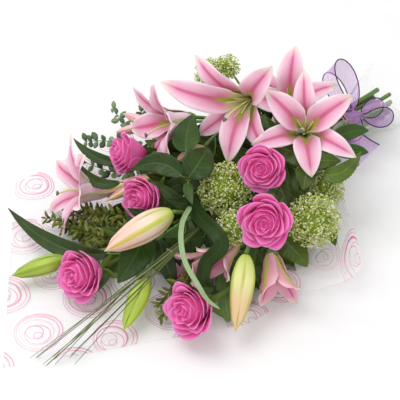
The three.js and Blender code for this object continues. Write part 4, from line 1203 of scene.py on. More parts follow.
BUDS = {
    "bud_1": Bud(vec(-93, -22, 88), (vec(-180, -4, 66),), 36, BLUSH),
    "bud_2": Bud(vec(-202, 46, 27), (vec(-263, 72, 18),), 25, GREEN),
    "bud_3": Bud(vec(-150, -44, 32), (vec(-211, -77, 17),), 25, LIME),
    "bud_4": Bud(vec(-62, -115, 72), (vec(-121, -165, 26),), 29, CREAM),
    "bud_5": Bud(vec(-55, 65, 58), (vec(-125, 87, 54), vec(-123, 73, 51)), 15, BLUSH),
    "bud_6": Bud(vec(9, 43, 84), (vec(-34, 46, 84),), 17, BLUSH),
    "bud_7": Bud(vec(2, 138, 60), (vec(-43, 158, 60), vec(-16, 178, 64)), 15, ROSY),
}

UMBELS = {
    "umbel_1": [(vec(-10, -20, 70), 31)],
    "umbel_2": [(vec(-47, -75, 73), 20)],
    "umbel_3": [(vec(42, -118, 60), 30), (vec(90, -90, 60), 21), (vec(34, -60, 68), 15)],
    "umbel_4": [(vec(92, 128, 104), 20), (vec(112, 118, 112), 15)],
}


class Edge(Enum):
    """Outline of a broad leaf."""

    PLAIN = "plain"
    TOOTHED = "toothed"


@dataclass(frozen=True)
class Leaf:
    """A broad leaf: root, middle and tip of its midrib, width, edge and the joint of its stalk."""

    root: Array
    middle: Array
    tip: Array
    width: float
    edge: Edge = Edge.PLAIN
    joint: Array | None = None


LEAFLETS = vec(80, -63, 93)
LONG_LEAF = vec(-148, 2, 36)
LEAVES = {
    name: [Leaf(*(vec(*place) for place in row[:3]), *row[3:]) for row in rows]
    for name, rows in {
        "lily_stem_2": [
            ((-57, 120, 42), (-78, 155, 40), (-74, 210, 32), 14),
            ((-99, 74, 68), (-121, 97, 68), (-111, 155, 62), 14),
            ((-91, 59, 30), (-115, 63, 28), (-143, 57, 22), 24),
        ],
        "lily_stem_3": [
            ((-12, 16, 62), (-39, 28, 62), (-66, 42, 54), 24),
            ((10, 100, 62), (-28, 104, 56), (-60, 124, 46), 22),
        ],
        "lily_stem_4": [
            ((-164, 14, 36), (-200, 69, 31), (-205, 167, 20), 22, Edge.PLAIN, LONG_LEAF),
            ((-60, -40, 40), (-91, -31, 38), (-127, -18, 32), 28),
        ],
        "lily_stem_5": [
            ((-27, -98, 34), (-25, -111, 32), (-26, -124, 24), 14),
            ((-39, -106, 26), (-41, -121, 22), (-47, -136, 14), 16),
        ],
        "salal_1": [
            ((-51, 12, 94), (-62, 42, 100), (-90, 58, 94), 27),
            ((-47, 4, 96), (-28, 8, 106), (2, 27, 98), 38),
            ((-28, 32, 106), (-13, 50, 110), (19, 78, 108), 34),
            ((-51, 1, 92), (-61, -12, 92), (-68, -28, 88), 12),
        ],
        "salal_2": [
            ((-111, 0, 52), (-146, -16, 44), (-179, -26, 30), 38),
            ((-84, -33, 56), (-96, -28, 58), (-110, -20, 54), 10),
        ],
        "salal_3": [
            ((42, -24, 92), (62, -3, 104), (92, 24, 104), 22),
            ((30, -22, 80), (30, -4, 88), (34, 18, 88), 24),
            ((137, -48, 84), (162, -57, 90), (188, -65, 82), 20),
            ((123, -70, 86), (139, -84, 90), (157, -94, 84), 18),
        ],
        "rose_stem_3": [((-138, 16, 18), (-158, 16, 12), (-184, 8, 7), 24)],
        "rose_stem_5": [
            ((77, -63, 94), (73, -38, 98), (69, -6, 88), 28, Edge.TOOTHED),
            ((83, -71, 97), (92, -83, 102), (110, -92, 96), 20, Edge.TOOTHED, LEAFLETS),
            ((73, -72, 92), (62, -81, 92), (50, -90, 84), 28, Edge.TOOTHED, LEAFLETS),
            ((82, -92, 92), (100, -106, 96), (142, -94, 94), 22, Edge.TOOTHED),
        ],
        "rose_stem_6": [
            ((20, -88, 21), (19, -113, 21), (17, -138, 13), 36, Edge.TOOTHED),
            ((72, -98, 30), (66, -122, 32), (59, -142, 24), 22, Edge.TOOTHED),
        ],
    }.items()
}


# ---- stems


@dataclass(frozen=True)
class Start:
    """Where a stem begins below its flower, the way it leaves it, and its radius."""

    place: Array
    lean: Array
    radius: float


STARTS = {
    f"rose_stem_{i + 1}": Start(rose.base - 6 * rose.axis, -rose.axis, 2.5)
    for i, rose in enumerate(ROSES)
}
STARTS.update({
    name: Start(vec(*place), unit(vec(*lean)), radius)
    for name, place, lean, radius in (
        ("lily_stem_1", (166, 10, 53), (1, -0.1, -0.3), 3.4),
        ("lily_stem_2", (-56, 74, 44), (1, -0.2, 0), 3),
        ("lily_stem_3", (56, 80, 72), (1, -0.4, -0.3), 3),
        ("lily_stem_4", (-118, -12, 44), (1, 0, 0.1), 3),
        ("lily_stem_5", (-2, -76, 48), (1, 0.4, -0.1), 3),
        ("umbel_1", (20, -8, 48), (1, 0.1, -0.3), 1.8),
        ("umbel_2", (-14, -52, 52), (1, 0.3, -0.1), 1.8),
        ("umbel_3", (84, -58, 40), (1, 0.3, -0.1), 1.8),
        ("umbel_4", (128, 84, 66), (1, -0.6, -0.3), 1.8),
        ("salal_1", (-46, 10, 86), (1, 0, -0.5), 1.5),
        ("salal_2", (-84, 4, 34), (1, 0, 0), 1.5),
        ("salal_3", (56, -14, 80), (1, 0, -0.3), 1.5),
        ("eucalyptus_1", (30, 128, 42), (1, -0.5, -0.1), 1.1),
        ("eucalyptus_2", (-14, 106, 38), (1, -0.5, 0), 1.1),
        ("filler_1", (-96, 30, 20), (1, -0.1, 0), 1.1),
        ("filler_2", (-68, -54, 10), (1, 0.1, 0), 1.1),
        ("strap_leaf", (-38, 5, 62), (1, 0.1, -0.3), 1.6),
        ("strip_leaf", (-56, -4, 54), (1, 0.1, -0.1), 1.2),
        ("folded_leaf", (-48, -62, 10), (1, 0.2, 0), 1.2),
        ("grass", (-36, -24, 42), (1, 0.1, -0.1), 1.8),
    )
})


@dataclass(frozen=True)
class Tie:
    """The tie: centre of the bundle, the radii round it, and the funnel before it."""

    x: float = 214
    y: float = 3
    z: float = 33
    stems: float = 17.5
    band: float = 19.8
    band_width: float = 14
    funnel: float = 120
    slope: float = 0.25


TIE = Tie()


@dataclass
class Stems:
    """Lines of all the stems from flower to cut end, laid side by side through the tie."""

    station: float = 9
    bend_every: int = 6
    cut: float = 300
    rounds: int = 160
    still: int = 60
    lines: dict[str, Array] = field(default_factory=dict)
    curves: dict[str, Array] = field(default_factory=dict)

    def obstacles(self) -> list[tuple[str, Array, float]]:
        """Balls round the flowers that no stem runs through, each with its own stem's name."""
        balls = [
            ("", lily.base + 0.45 * lily.length * lily.axis, 0.26 * lily.length)
            for lily in LILIES.values() if not lily.filaments
        ]
        balls += [
            (own, at, 0.85 * radius) for own, heads in UMBELS.items() for at, radius in heads
        ]
        balls += [(f"rose_stem_{i + 1}", rose.at, rose.radius + 2) for i, rose in enumerate(ROSES)]
        balls += [("", (bud.base + bud.tips[0]) / 2, bud.width / 2 + 2) for bud in BUDS.values()]
        return balls

    def lay(self) -> None:
        """Works out the lines.

        Each stem has one place (y, z) at each station along x. In each round any two stems
        that are too close at a station move apart by half the lack each, places inside a ball
        move out of it, those near the tie move into its funnel, and until the last rounds each
        place moves a fifth of the way to the middle of its neighbours.
        """
        names = list(STARTS)
        starts = [STARTS[name] for name in names]
        first = np.array([math.floor(s.place[0] / self.station) + 2 for s in starts])
        low, high = first.min(), int(self.cut / self.station) + 2
        index = np.arange(low, high + 1)
        x = index * self.station
        radius = np.array([s.radius for s in starts])
        y = np.zeros((len(starts), len(index)))
        z = np.zeros_like(y)
        there = np.zeros(y.shape, bool)
        for i, s in enumerate(starts):
            fx, fy, fz = s.place
            slot_y = TIE.y + np.clip(0.12 * (fy - TIE.y), -12, 12)
            slot_z = TIE.z + np.clip(0.25 * (fz - 60), -10, 12)
            span = TIE.x - fx
            steepest = 150 / span
            slopes = np.clip(s.lean[1:] / max(s.lean[0], 0.2), -steepest, steepest)
            near_x = (index - 0.4) * self.station
            there[i] = (index >= first[i]) & (near_x < self.cut - 7 * (i % 4))
            t = np.minimum(1, (near_x - fx) / span)
            settle = t * t * (3 - 2 * t)
            bend = t * (1 - t) ** 2 * span
            spread = 1 + 0.008 * np.maximum(0, near_x - TIE.x)
            y[i] = TIE.y + (fy + (slot_y - fy) * settle + bend * slopes[0] - TIE.y) * spread
            z[i] = TIE.z + (fz + (slot_z - fz) * settle + bend * slopes[1] - TIE.z) * spread
        balls = self.obstacles()
        others = [np.array([own != name for name in names])[:, None] for own, _, _ in balls]
        middle = there.copy()
        middle[:, 1:] &= there[:, :-1]
        middle[:, :-1] &= there[:, 1:]
        middle[:, [0, -1]] = False
        for turn in range(self.rounds):
            for i in range(len(starts)):
                for j in range(i + 1, len(starts)):
                    reach = 1.12 * (radius[i] + radius[j]) + 1.2
                    dy, dz = y[i] - y[j], z[i] - z[j]
                    gap = np.maximum(np.hypot(dy, dz), 1e-3)
                    near = there[i] & there[j] & (gap < reach)
                    push = np.where(near, (reach - gap) / 2 / gap, 0)
                    y[i] += dy * push
                    z[i] += dz * push
                    y[j] -= dy * push
                    z[j] -= dz * push
            before_y, before_z = y.copy(), z.copy()
            for (_, at, size), other in zip(balls, others):
                across = size**2 - (x - at[0]) ** 2
                clear = np.sqrt(np.maximum(across, 0)) + radius[:, None]
                dy, dz = y - at[1], z - at[2]
                gap = np.maximum(np.hypot(dy, dz), 1e-3)
                push = np.where((across > 0) & other & (gap < clear), (clear - gap) / gap, 0)
                y += dy * push
                z += dz * push
            tied = (x > TIE.x - TIE.funnel) & (x < TIE.x + 1.5 * self.station)
            opening = TIE.slope * np.maximum(0, TIE.x - self.station - x)
            limit = TIE.stems + opening - 1.1 * radius[:, None]
            reach = np.maximum(np.hypot(y - TIE.y, z - TIE.z), 1e-3)
            share = np.where(tied & (reach > limit), limit / reach, 1)
            y = TIE.y + (y - TIE.y) * share
            z = np.maximum(TIE.z + (z - TIE.z) * share, radius[:, None] + 3)
            if turn < self.rounds - self.still:
                for k in range(1, len(index) - 1):
                    mean_y = (y[:, k - 1] + before_y[:, k + 1]) / 2
                    mean_z = (z[:, k - 1] + before_z[:, k + 1]) / 2
                    y[:, k] += np.where(middle[:, k], 0.2 * (mean_y - y[:, k]), 0)
                    z[:, k] += np.where(middle[:, k], 0.2 * (mean_z - z[:, k]), 0)
        for i, name in enumerate(names):
            line = np.stack([x, y[i], z[i]], axis=1)[there[i]]
            k = np.arange(len(line))
            kept = (k % self.bend_every == 0) | (k == len(line) - 1)
            kept |= np.abs(line[:, 0] - TIE.x) < self.station / 2
            self.lines[name] = np.vstack([starts[i].place, line[kept]])
            self.curves[name] = smooth_line(self.lines[name], 8 * kept.sum() + 1)

    def join(self, name: str, place: Array, ahead: float) -> Array:
        """Place of a stem nearest to one that lies ahead of a point towards the tie."""
        curve = self.curves[name]
        target = place + vec(ahead, 0, 0)
        return curve[np.argmin(np.linalg.norm(curve - target, axis=1))]

    def grow(self, piece: Piece, name: str, finish: Finish, sides: int = 10) -> None:
        """Adds a whole stem with its cut end to a piece.

        Args:
            piece: piece to add to.
            name: the stem.
            finish: finish of its skin.
            sides: number of sides.
        """
        line = self.curves[name]
        radius = STARTS[name].radius
        share = np.linspace(0, 1, len(line))
        swell = 1 + 0.05 * np.sin(40 * share + 3 * radius) + 0.1 * share
        piece.add(tube(line, radius * swell, sides, 0.5), finish)
        end, before = line[-1], line[-2]
        along = unit(end - before)
        pith = np.array([end - 0.4 * along, end + 0.25 * along])
        piece.add(tube(pith, radius * 1.02 * swell[-1], sides), CUT_END)

    def stalk(
        self, piece: Piece, name: str, start: Array, lean: Array, run: float,
        finish: Finish,
    ) -> None:
        """Adds a flower's stalk, bent by a quarter of its length along its lean.

        Args:
            piece: piece to add to.
            name: the stem it grows on.
            start: the flower's foot.
            lean: direction away from the flower.
            run: how far it runs on towards the tie.
            finish: finish of its skin.
        """
        end = self.join(name, start, run)
        middle = (start + end) / 2 + lean * 0.25 * np.linalg.norm(end - start)
        line = smooth_line([start, middle, end], 14)
        piece.add(tube(line, np.linspace(2.5, 1.9, 14), 10), finish)


# ---- roses


@dataclass(frozen=True)
class PetalRow:
    """One row of rose petals: their number and, as shares of the bloom, how far they reach,
    rise, span and curl; twist winds one side of each over its neighbour, and open leans it
    outwards from cup to funnel."""

    petals: int
    reach: float
    rise: float
    span: float
    curl: float
    twist: float
    # lower in the inner rows, where the petal finish paints the petals deeper as shade
    tone: float
    open: float


@dataclass
class RoseBlooms:
    """Roses of layered petals over a green hip with five sepals."""

    rows: tuple[PetalRow, ...] = (
        PetalRow(5, 0.92, 0.76, 0.84, 0.14, 0.12, 1.0, 0.7),
        PetalRow(5, 0.77, 0.85, 0.86, 0.13, 0.12, 0.95, 0.65),
        PetalRow(4, 0.61, 0.92, 1.0, 0.12, 0.13, 0.85, 0.5),
        PetalRow(3, 0.46, 0.97, 1.25, 0.09, 0.15, 0.72, 0.35),
        PetalRow(3, 0.34, 0.99, 1.25, 0.06, 0.17, 0.55, 0.25),
        PetalRow(3, 0.24, 1.0, 1.3, 0.04, 0.2, 0.4, 0.2),
        PetalRow(2, 0.15, 0.99, 1.7, 0.03, 0.28, 0.3, 0.1),
        PetalRow(2, 0.08, 0.98, 1.7, 0.02, 0.3, 0.2, 0.1),
    )
    thickness: float = 0.7
    heart: tuple[tuple[float, float], ...] = (
        (0.2, 0.08), (0.3, 0.16), (0.42, 0.28), (0.52, 0.42), (0.58, 0.56), (0.58, 0.68),
        (0.5, 0.78), (0.4, 0.85), (0.28, 0.9), (0.14, 0.92),
    )

    def petal(self, rose: Rose, row: PetalRow, middle: float, seed: float) -> Array:
        """Grid of one petal.

        With v from root to rim, u from side to side and t = v (1 - 0.2 u^2), the reach
        is the radius times a foot plus the rest by a mix of sqrt(1 - (1 - t)^2) and t^0.9, wound
        outwards with u, plus a curl that grows with the square of t beyond 0.7. The rise is
        linear in t less half the curl. The rim comes to a soft point at its middle, and a slow
        ripple along it makes no two petals alike.

        Args:
            rose: the rose.
            row: the petal's row.
            middle: angle of its middle round the bloom.
            seed: phase of its ripple.

        Returns:
            (15, 13, 3) places in the flower's own directions.
        """
        v, u = spans(15, 13)
        top = v * (1 - 0.2 * u * u + 0.04 * np.exp(-((u / 0.2) ** 2)))
        bulge = (1 - row.open) * np.sqrt(1 - (1 - top) ** 2) + row.open * top**0.9
        curl = np.maximum(0, top - 0.7) ** 2 * row.curl * 8
        ripple = 0.035 * smoothstep(v, 0.5, 1) * np.sin(3.1 * u + seed) * (0.4 + row.reach)
        base = 0.2 * min(1.0, row.reach * 1.4)
        wide = base + (row.reach - base) * bulge
        reach = rose.radius * (wide * (1 + row.twist * u) + curl + ripple)
        spread = row.span * (0.4 + 0.6 * np.sin(math.pi * (0.1 + 0.62 * v)))
        angle = middle + u * spread
        rise = 0.04 + row.rise * top - 0.5 * curl + 0.6 * ripple
        return polar(reach, angle, rose.height * rise)

    def bloom(self, number: int, rose: Rose) -> None:
        """Builds one rose's petals."""
        piece = Piece(f"rose_{number}_petals", "rose_petal", (f"rose_{number}",))
        place = flower_place(rose.base, rose.axis, rose.turn)
        chance = np.random.default_rng(40 + number)
        for level, row in enumerate(self.rows):
            for k in range(row.petals):
                middle = TAU * k / row.petals + 0.9 * level
                if level:
                    middle += chance.uniform(-0.12, 0.12)
                grid = self.petal(rose, row, middle, chance.uniform(0, TAU))
                piece.add(blade(place.put(grid)[:, ::-1], self.thickness, row.tone), ROSE_PETAL)
        # Dome under the inner petals, in the deeper pink of painted shade at the bottom of the
        # gaps.
        profile = np.array(self.heart) * [rose.radius, rose.height]
        rings = turned(profile, 24)
        low, high = (place.put(vec(0, 0, share * rose.height)) for share in (0.04, 0.925))
        piece.add(loft(place.put(rings), low, high), ROSE_HEART)
        piece.build()

    def hip(self, piece: Piece, rose: Rose) -> None:
        """Adds the hip and the sepals under a rose to its stem's piece."""
        place = flower_place(rose.base, rose.axis, rose.turn)
        profile = np.array([(1.8, -9), (2.6, -8), (4.6, -6), (5.4, -4.6), (5.2, -3), (5, -1.8)])
        rings = turned(profile, 14)
        low, high = place.put(vec(0, 0, -9.2)), place.put(vec(0, 0, -1.8))
        piece.add(loft(place.put(rings), low, high), ROSE_STEM)
        v, u = spans(12, 7)
        half = 4.2 * np.sin(math.pi * (0.12 + 0.86 * v) ** 0.75) ** 0.8
        for k in range(5):
            reach = 3 + (0.8 * rose.radius - 3) * v
            drop = -4 - 4 * v + 1.2 * np.sin(3 * v + k) - 0.25 * half * u * u
            c, s = math.cos(TAU * k / 5), math.sin(TAU * k / 5)
            grid = np.stack([reach * c - half * u * s, reach * s + half * u * c, drop], axis=-1)
            piece.add(blade(place.put(grid), 0.7, 0.6), ROSE_LEAF)


# ---- lilies


@dataclass
class LilyBlooms:
    """Lilies of six tepals, with filaments and a pistil in the open ones."""

    widths: tuple[float, float] = (38, 29)
    shifts: tuple[float, float] = (0, 4.4)
    roots: tuple[float, float] = (2.5, 4.4)
    rows: int = 27
    columns: int = 13
    thickness: float = 0.8

    def tepal(
        self, angle: float, length: float, kind: int, opening: float, seed: float,
    ) -> Array:
        """Grid of one tepal.

        Its middle line leans off the axis by the throat's angle and eases to its opening angle
        from a fifth of its length on. Across it, the half width is a power of a sine of v; the
        edges turn in by 0.12 u^2 half widths and ruffle more and more towards the tip.

        Args:
            angle: its direction round the axis in degrees.
            length: length of its middle line.
            kind: 0 for a petal and 1 for a sepal.
            opening: angle off the axis at its tip in degrees.
            seed: phase of its ruffles.

        Returns:
            (rows, columns, 3) places in the flower's own directions.
        """
        steps = 96
        share = smoothstep(np.linspace(0, 1, steps + 1), 0.18, 1)
        lean = np.radians(THROAT_ANGLE + (opening - THROAT_ANGLE) * share)
        step = length / steps
        r = self.roots[kind] + np.concatenate([[0], np.cumsum(step * np.sin(lean[1:]))])
        z = np.concatenate([[0], np.cumsum(step * np.cos(lean[1:]))])
        v = np.linspace(0, 1, self.rows)
        known = np.linspace(0, 1, steps + 1)
        r, z, lean = (np.interp(v, known, values)[:, None] for values in (r, z, lean))
        v = v[:, None]
        u = np.linspace(-1, 1, self.columns)[None]
        half = np.maximum(
            0.6, self.widths[kind] / 2 * np.sin(math.pi * (0.06 + 0.94 * v) ** 1.2) ** 0.75
        )
        turn = math.radians(angle)
        shift = self.shifts[kind] * np.minimum(1, 5 * v) * (1 - v)
        wave = 1.6 * np.sin(7 * v + 3 * turn) * u * v
        ruffle = 1.5 * np.abs(u) ** 3 * smoothstep(v, 0.2, 0.7) * np.sin(21 * v + 2 * u + seed)
        groove = -0.9 * np.exp(-((u / 0.14) ** 2)) * smoothstep(v, 0.1, 0.5) * (1 - v)
        inward = 0.12 * half * u * u - shift + wave + ruffle + groove
        radial = r - inward * np.cos(lean)
        around = turn + np.clip(half * u / r, -0.85, 0.85)
        return polar(radial, around, z + inward * np.sin(lean))

    def bloom(self, name: str, lily: Lily) -> None:
        """Builds one lily's tepals on their receptacle."""
        piece = Piece(f"{name}_tepals", "lily_petal", (name,))
        place = flower_place(lily.base, lily.axis)
        chance = np.random.default_rng(seed_of(name))
        profile = np.array([(2.2, -3), (4.2, -2.6), (5, -2.2), (6.6, 1), (8.0, 4), (8.4, 5)])
        rings = turned(profile, 18)
        low, high = place.put(vec(0, 0, -3.2)), place.put(vec(0, 0, 5))
        piece.add(loft(place.put(rings), low, high), LILY_STEM)
        for angle, length, kind, opening in lily.tepals:
            grid = self.tepal(angle, length, kind, opening, chance.uniform(0, TAU))
            finish = TEPAL if lily.pistil else YOUNG_TEPAL
            piece.add(blade(place.put(grid), self.thickness, 0.5), finish)
        piece.build()

    def stamens(self, name: str, lily: Lily) -> None:
        """Builds the pistil with its three-lobed stigma, and the filaments round it."""
        piece = Piece(f"{name}_pistil_and_filaments", "stamen", (f"{name}_pistil",))
        place = flower_place(lily.base, lily.axis)
        reach = lily.depth + (46 if lily.filaments else 34)
        across = vec(math.cos(4.2), math.sin(4.2), 0)
        along = vec(0, 0, 1)
        places = [(0, 6), (0, 11), (4, 0.75 * reach), (9, 0.94 * reach), (11, reach)]
        style = smooth_line([across * r + along * z for r, z in places], 22)
        share = np.linspace(0, 1, 22)
        radius = 1.1 + 1.4 * np.exp(-((share / 0.12) ** 2)) + 0.5 * smoothstep(share, 0.85, 1)
        piece.add(tube(place.put(style), radius, 10, 0.9), FILAMENT)
        angle = round_angles(18)
        lobes = 1 + 0.22 * np.cos(3 * angle)
        heights = np.array([-0.6, 0.3, 1.5, 2.4])
        sizes = np.array([1.4, 2.7, 2.8, 1.6])
        tip = style[-1]
        rings = tip + polar(sizes[:, None] * lobes, angle, heights[:, None])
        low, high = place.put(tip - along), place.put(tip + 2.2 * along)
        piece.add(loft(place.put(rings), low, high, 0.1), FILAMENT)
        for k in range(lily.filaments):
            angle = TAU * k / lily.filaments + 0.4
            out = vec(math.cos(angle), math.sin(angle), 0)
            top = lily.depth + 26
            places = [(1.2, 7.2), (5.4, 0.55 * top), (11, top)]
            line = smooth_line([out * r + along * z for r, z in places], 14)
            piece.add(tube(place.put(line), np.linspace(1.1, 0.45, 14), 7, 0.72), FILAMENT)
        piece.build()


# ---- buds


@dataclass
class ClosedBuds:
    """Closed lily buds with three ribs and the seams between them."""

    rows: int = 34
    columns: int = 42

    def body(self, bud: Bud, tip: Array) -> Patch:
        """One bud.

        Along t its radius is half the width times 0.16 + 0.84 sin(pi t^0.8)^0.8 (1 - 0.25 t);
        round it the radius grows by 0.08 cos(3 angle), with a narrow seam where that is least.

        Args:
            bud: its base, width and finish.
            tip: its tip.

        Returns:
            The patch.
        """
        along = tip - bud.base
        length = float(np.linalg.norm(along))
        place = flower_place(bud.base, along)
        t = np.linspace(0.012, 0.985, self.rows)[:, None]
        angle = round_angles(self.columns)[None]
        shape = 0.16 + 0.84 * np.sin(math.pi * t**0.8) ** 0.8 * (1 - 0.25 * t)
        shape *= np.minimum(1, 6.0 * (1 - t) + 0.1)
        around = np.cos(3 * angle)
        seam = -0.05 * smoothstep(-around, 0.75, 1) * np.sin(math.pi * t)
        rib = 0.02 * smoothstep(around, 0.8, 1)
        radius = bud.width / 2 * shape * (1 + 0.08 * around + seam + rib)
        bend = 0.03 * bud.width * np.sin(math.pi * t)
        rings = polar(radius, angle, t * length)
        rings[..., 0] += bend
        return loft(place.put(rings), bud.base, tip)

    def build(self, name: str, bud: Bud) -> None:
        """Builds a bud or a pair."""
        piece = Piece(f"{name}_skin", "bud_skin", (name,))
        for tip in bud.tips:
            piece.add(self.body(bud, tip), bud.finish)
        piece.build()


# ---- umbels


def star_form() -> tuple[Array, Array, Array]:
    """Tiny closed floret: five points round a raised middle over a foot, twenty triangles."""
    angle = round_angles(10)
    reach = np.where(np.arange(10) % 2 == 0, 1.0, 0.5)
    lift = np.where(reach > 0.6, 0.25, 0.0)
    rim = polar(reach, angle, lift)
    points = np.vstack([rim, [0, 0, 0.35], [0, 0, -1.0]])
    k = np.arange(10)
    after = (k + 1) % 10
    upper = np.stack([k, after, np.full(10, 10)], axis=1)
    faces = np.vstack([upper, np.stack([after, k, np.full(10, 11)], axis=1)])
    uv = np.tile(np.array([[0.0, 0.5], [1.0, 0.5], [0.5, 1.0]]), (20, 1, 1))
    return points, faces, uv


@dataclass
class Umbels:
    """Heads of tiny florets on rays that branch from their stalk."""

    florets_per_cluster: int = 13
    clusters_per_square: float = 0.115
    # radius of the dark ball of painted shade inside each head, as a share of the head's
    painted_shade_core: float = 0.6
    squash: float = 0.62
    floret: float = 1.8

    def head(self, piece: Piece, at: Array, radius: float, foot: Array, seed: int) -> None:
        """Adds one head.

        Cluster directions follow the golden angle with evenly falling rise; each cluster has a
        ray to four fifths of the radius and florets strewn round its end, the whole squashed
        along the showy side's direction.

        Args:
            piece: piece to add to.
            at: middle of the head.
            radius: its radius.
            foot: where the spray's stalks part.
            seed: seed of its draws.
        """
        chance = np.random.default_rng(seed)
        count = int(self.clusters_per_square * radius**2)
        k = np.arange(count)
        rise = 1 - 1.75 * (k + 0.5) / count
        around = np.sqrt(1 - rise**2)
        out = polar(around, k * GOLDEN_ANGLE, rise)
        out = unit(out + chance.normal(0, 0.06, out.shape))
        place = flower_place(at, SHOW_OUT)
        low = unit((foot - at) @ place.axes) * 0.45 * radius
        far = out * radius * chance.uniform(0.72, 0.86, (count, 1))
        for c in range(count):
            end = far[c] * vec(1, 1, self.squash)
            bend = low * 0.35 + end * 0.45 + vec(0, 0, -0.02 * radius)
            ray = place.put(smooth_line([low, bend, end], 5))
            piece.add(tube(ray, np.array([1.1, 1.0, 0.85, 0.7, 0.6]), 4, 0.3), UMBEL)
        # Dark green lumpy ball inside the head: painted shade in the gaps between the rays and
        # florets, in the place of the shaded inner stalks.
        angle = round_angles(20)
        t = np.linspace(0.12, 0.94, 12)[:, None] * math.pi
        lumps = self.painted_shade_core * radius * (1 + 0.12 * np.sin(5 * angle + 3 * t) * np.sin(4 * t + angle))
        rings = polar(lumps * np.sin(t), angle, self.squash * lumps * np.cos(t))
        poles = [place.put(vec(0, 0, way * self.squash * self.painted_shade_core * radius)) for way in (1, -1)]
        piece.add(loft(place.put(rings), *poles, 0.06), UMBEL)
        per = self.florets_per_cluster
        spread = chance.normal(0, 1, (count, per, 3)) * 0.13 * radius * np.sqrt(20 / radius)
        lift = chance.uniform(0.8, 1.08, (count, per, 1))
        spots = (out[:, None] * radius * lift + spread).reshape(-1, 3)
        length = np.linalg.norm(spots, axis=1, keepdims=True)
        spots *= np.minimum(1, 1.1 * radius / length)
        z = unit(unit(spots) + chance.normal(0, 0.25, spots.shape))
        x = unit(np.cross(z, chance.normal(0, 1, spots.shape)))
        axes = np.stack([x, np.cross(z, x), z], axis=2)
        sizes = self.floret * chance.uniform(0.6, 1.15, len(spots))
        spots = spots * vec(1, 1, self.squash)
        tone = 0.2 + 0.8 * chance.beta(0.9, 1.1, len(spots))
        axes = np.einsum("ij,cjk->cik", place.axes, axes) * sizes[:, None, None]
        piece.add(scatter(star_form(), place.put(spots), axes, tone), UMBEL)

    def build(self, name: str, stems: Stems) -> None:
        """Builds the heads and the stem of one spray."""
        piece = Piece(f"{name}_florets", "umbel_green", (name,))
        foot = STARTS[name].place
        for k, (at, radius) in enumerate(UMBELS[name]):
            self.head(piece, at, radius, foot, 7 * k + seed_of(name))
            low = at + unit(foot - at) * 0.45 * radius
            sag = (low + foot) / 2 + vec(0, 0, -1.5)
            piece.add(tube(smooth_line([low, sag, foot], 8), 1.5, 8, 0.1), UMBEL)
        stems.grow(piece, name, FINE_STEM, 8)
        piece.build()


# ---- leaves


def under_bloom(place: Array) -> bool:
    """Whether a bloom, a head, a bud or a broad leaf hides a place from the showy side.

    Args:
        place: the place.

    Returns:
        True where it lies behind one of them and within its radius.
    """
    blooms = [(rose.at, rose.radius) for rose in ROSES]
    blooms += [
        (lily.base + 34 * lily.axis, 40 if lily.filaments else 30) for lily in LILIES.values()
    ]
    blooms += [head for heads in UMBELS.values() for head in heads]
    blooms += [((bud.base + bud.tips[0]) / 2, bud.width) for bud in BUDS.values()]
    blooms += [
        ((leaf.root + leaf.tip) / 2, 1.4 * leaf.width)
        for leaves in LEAVES.values() for leaf in leaves
    ]
    for at, radius in blooms:
        away = place - at
        if math.hypot(away @ SHOW_RIGHT, away @ SHOW_UP) < radius and away @ SHOW_OUT < 0:
            return True
    return False


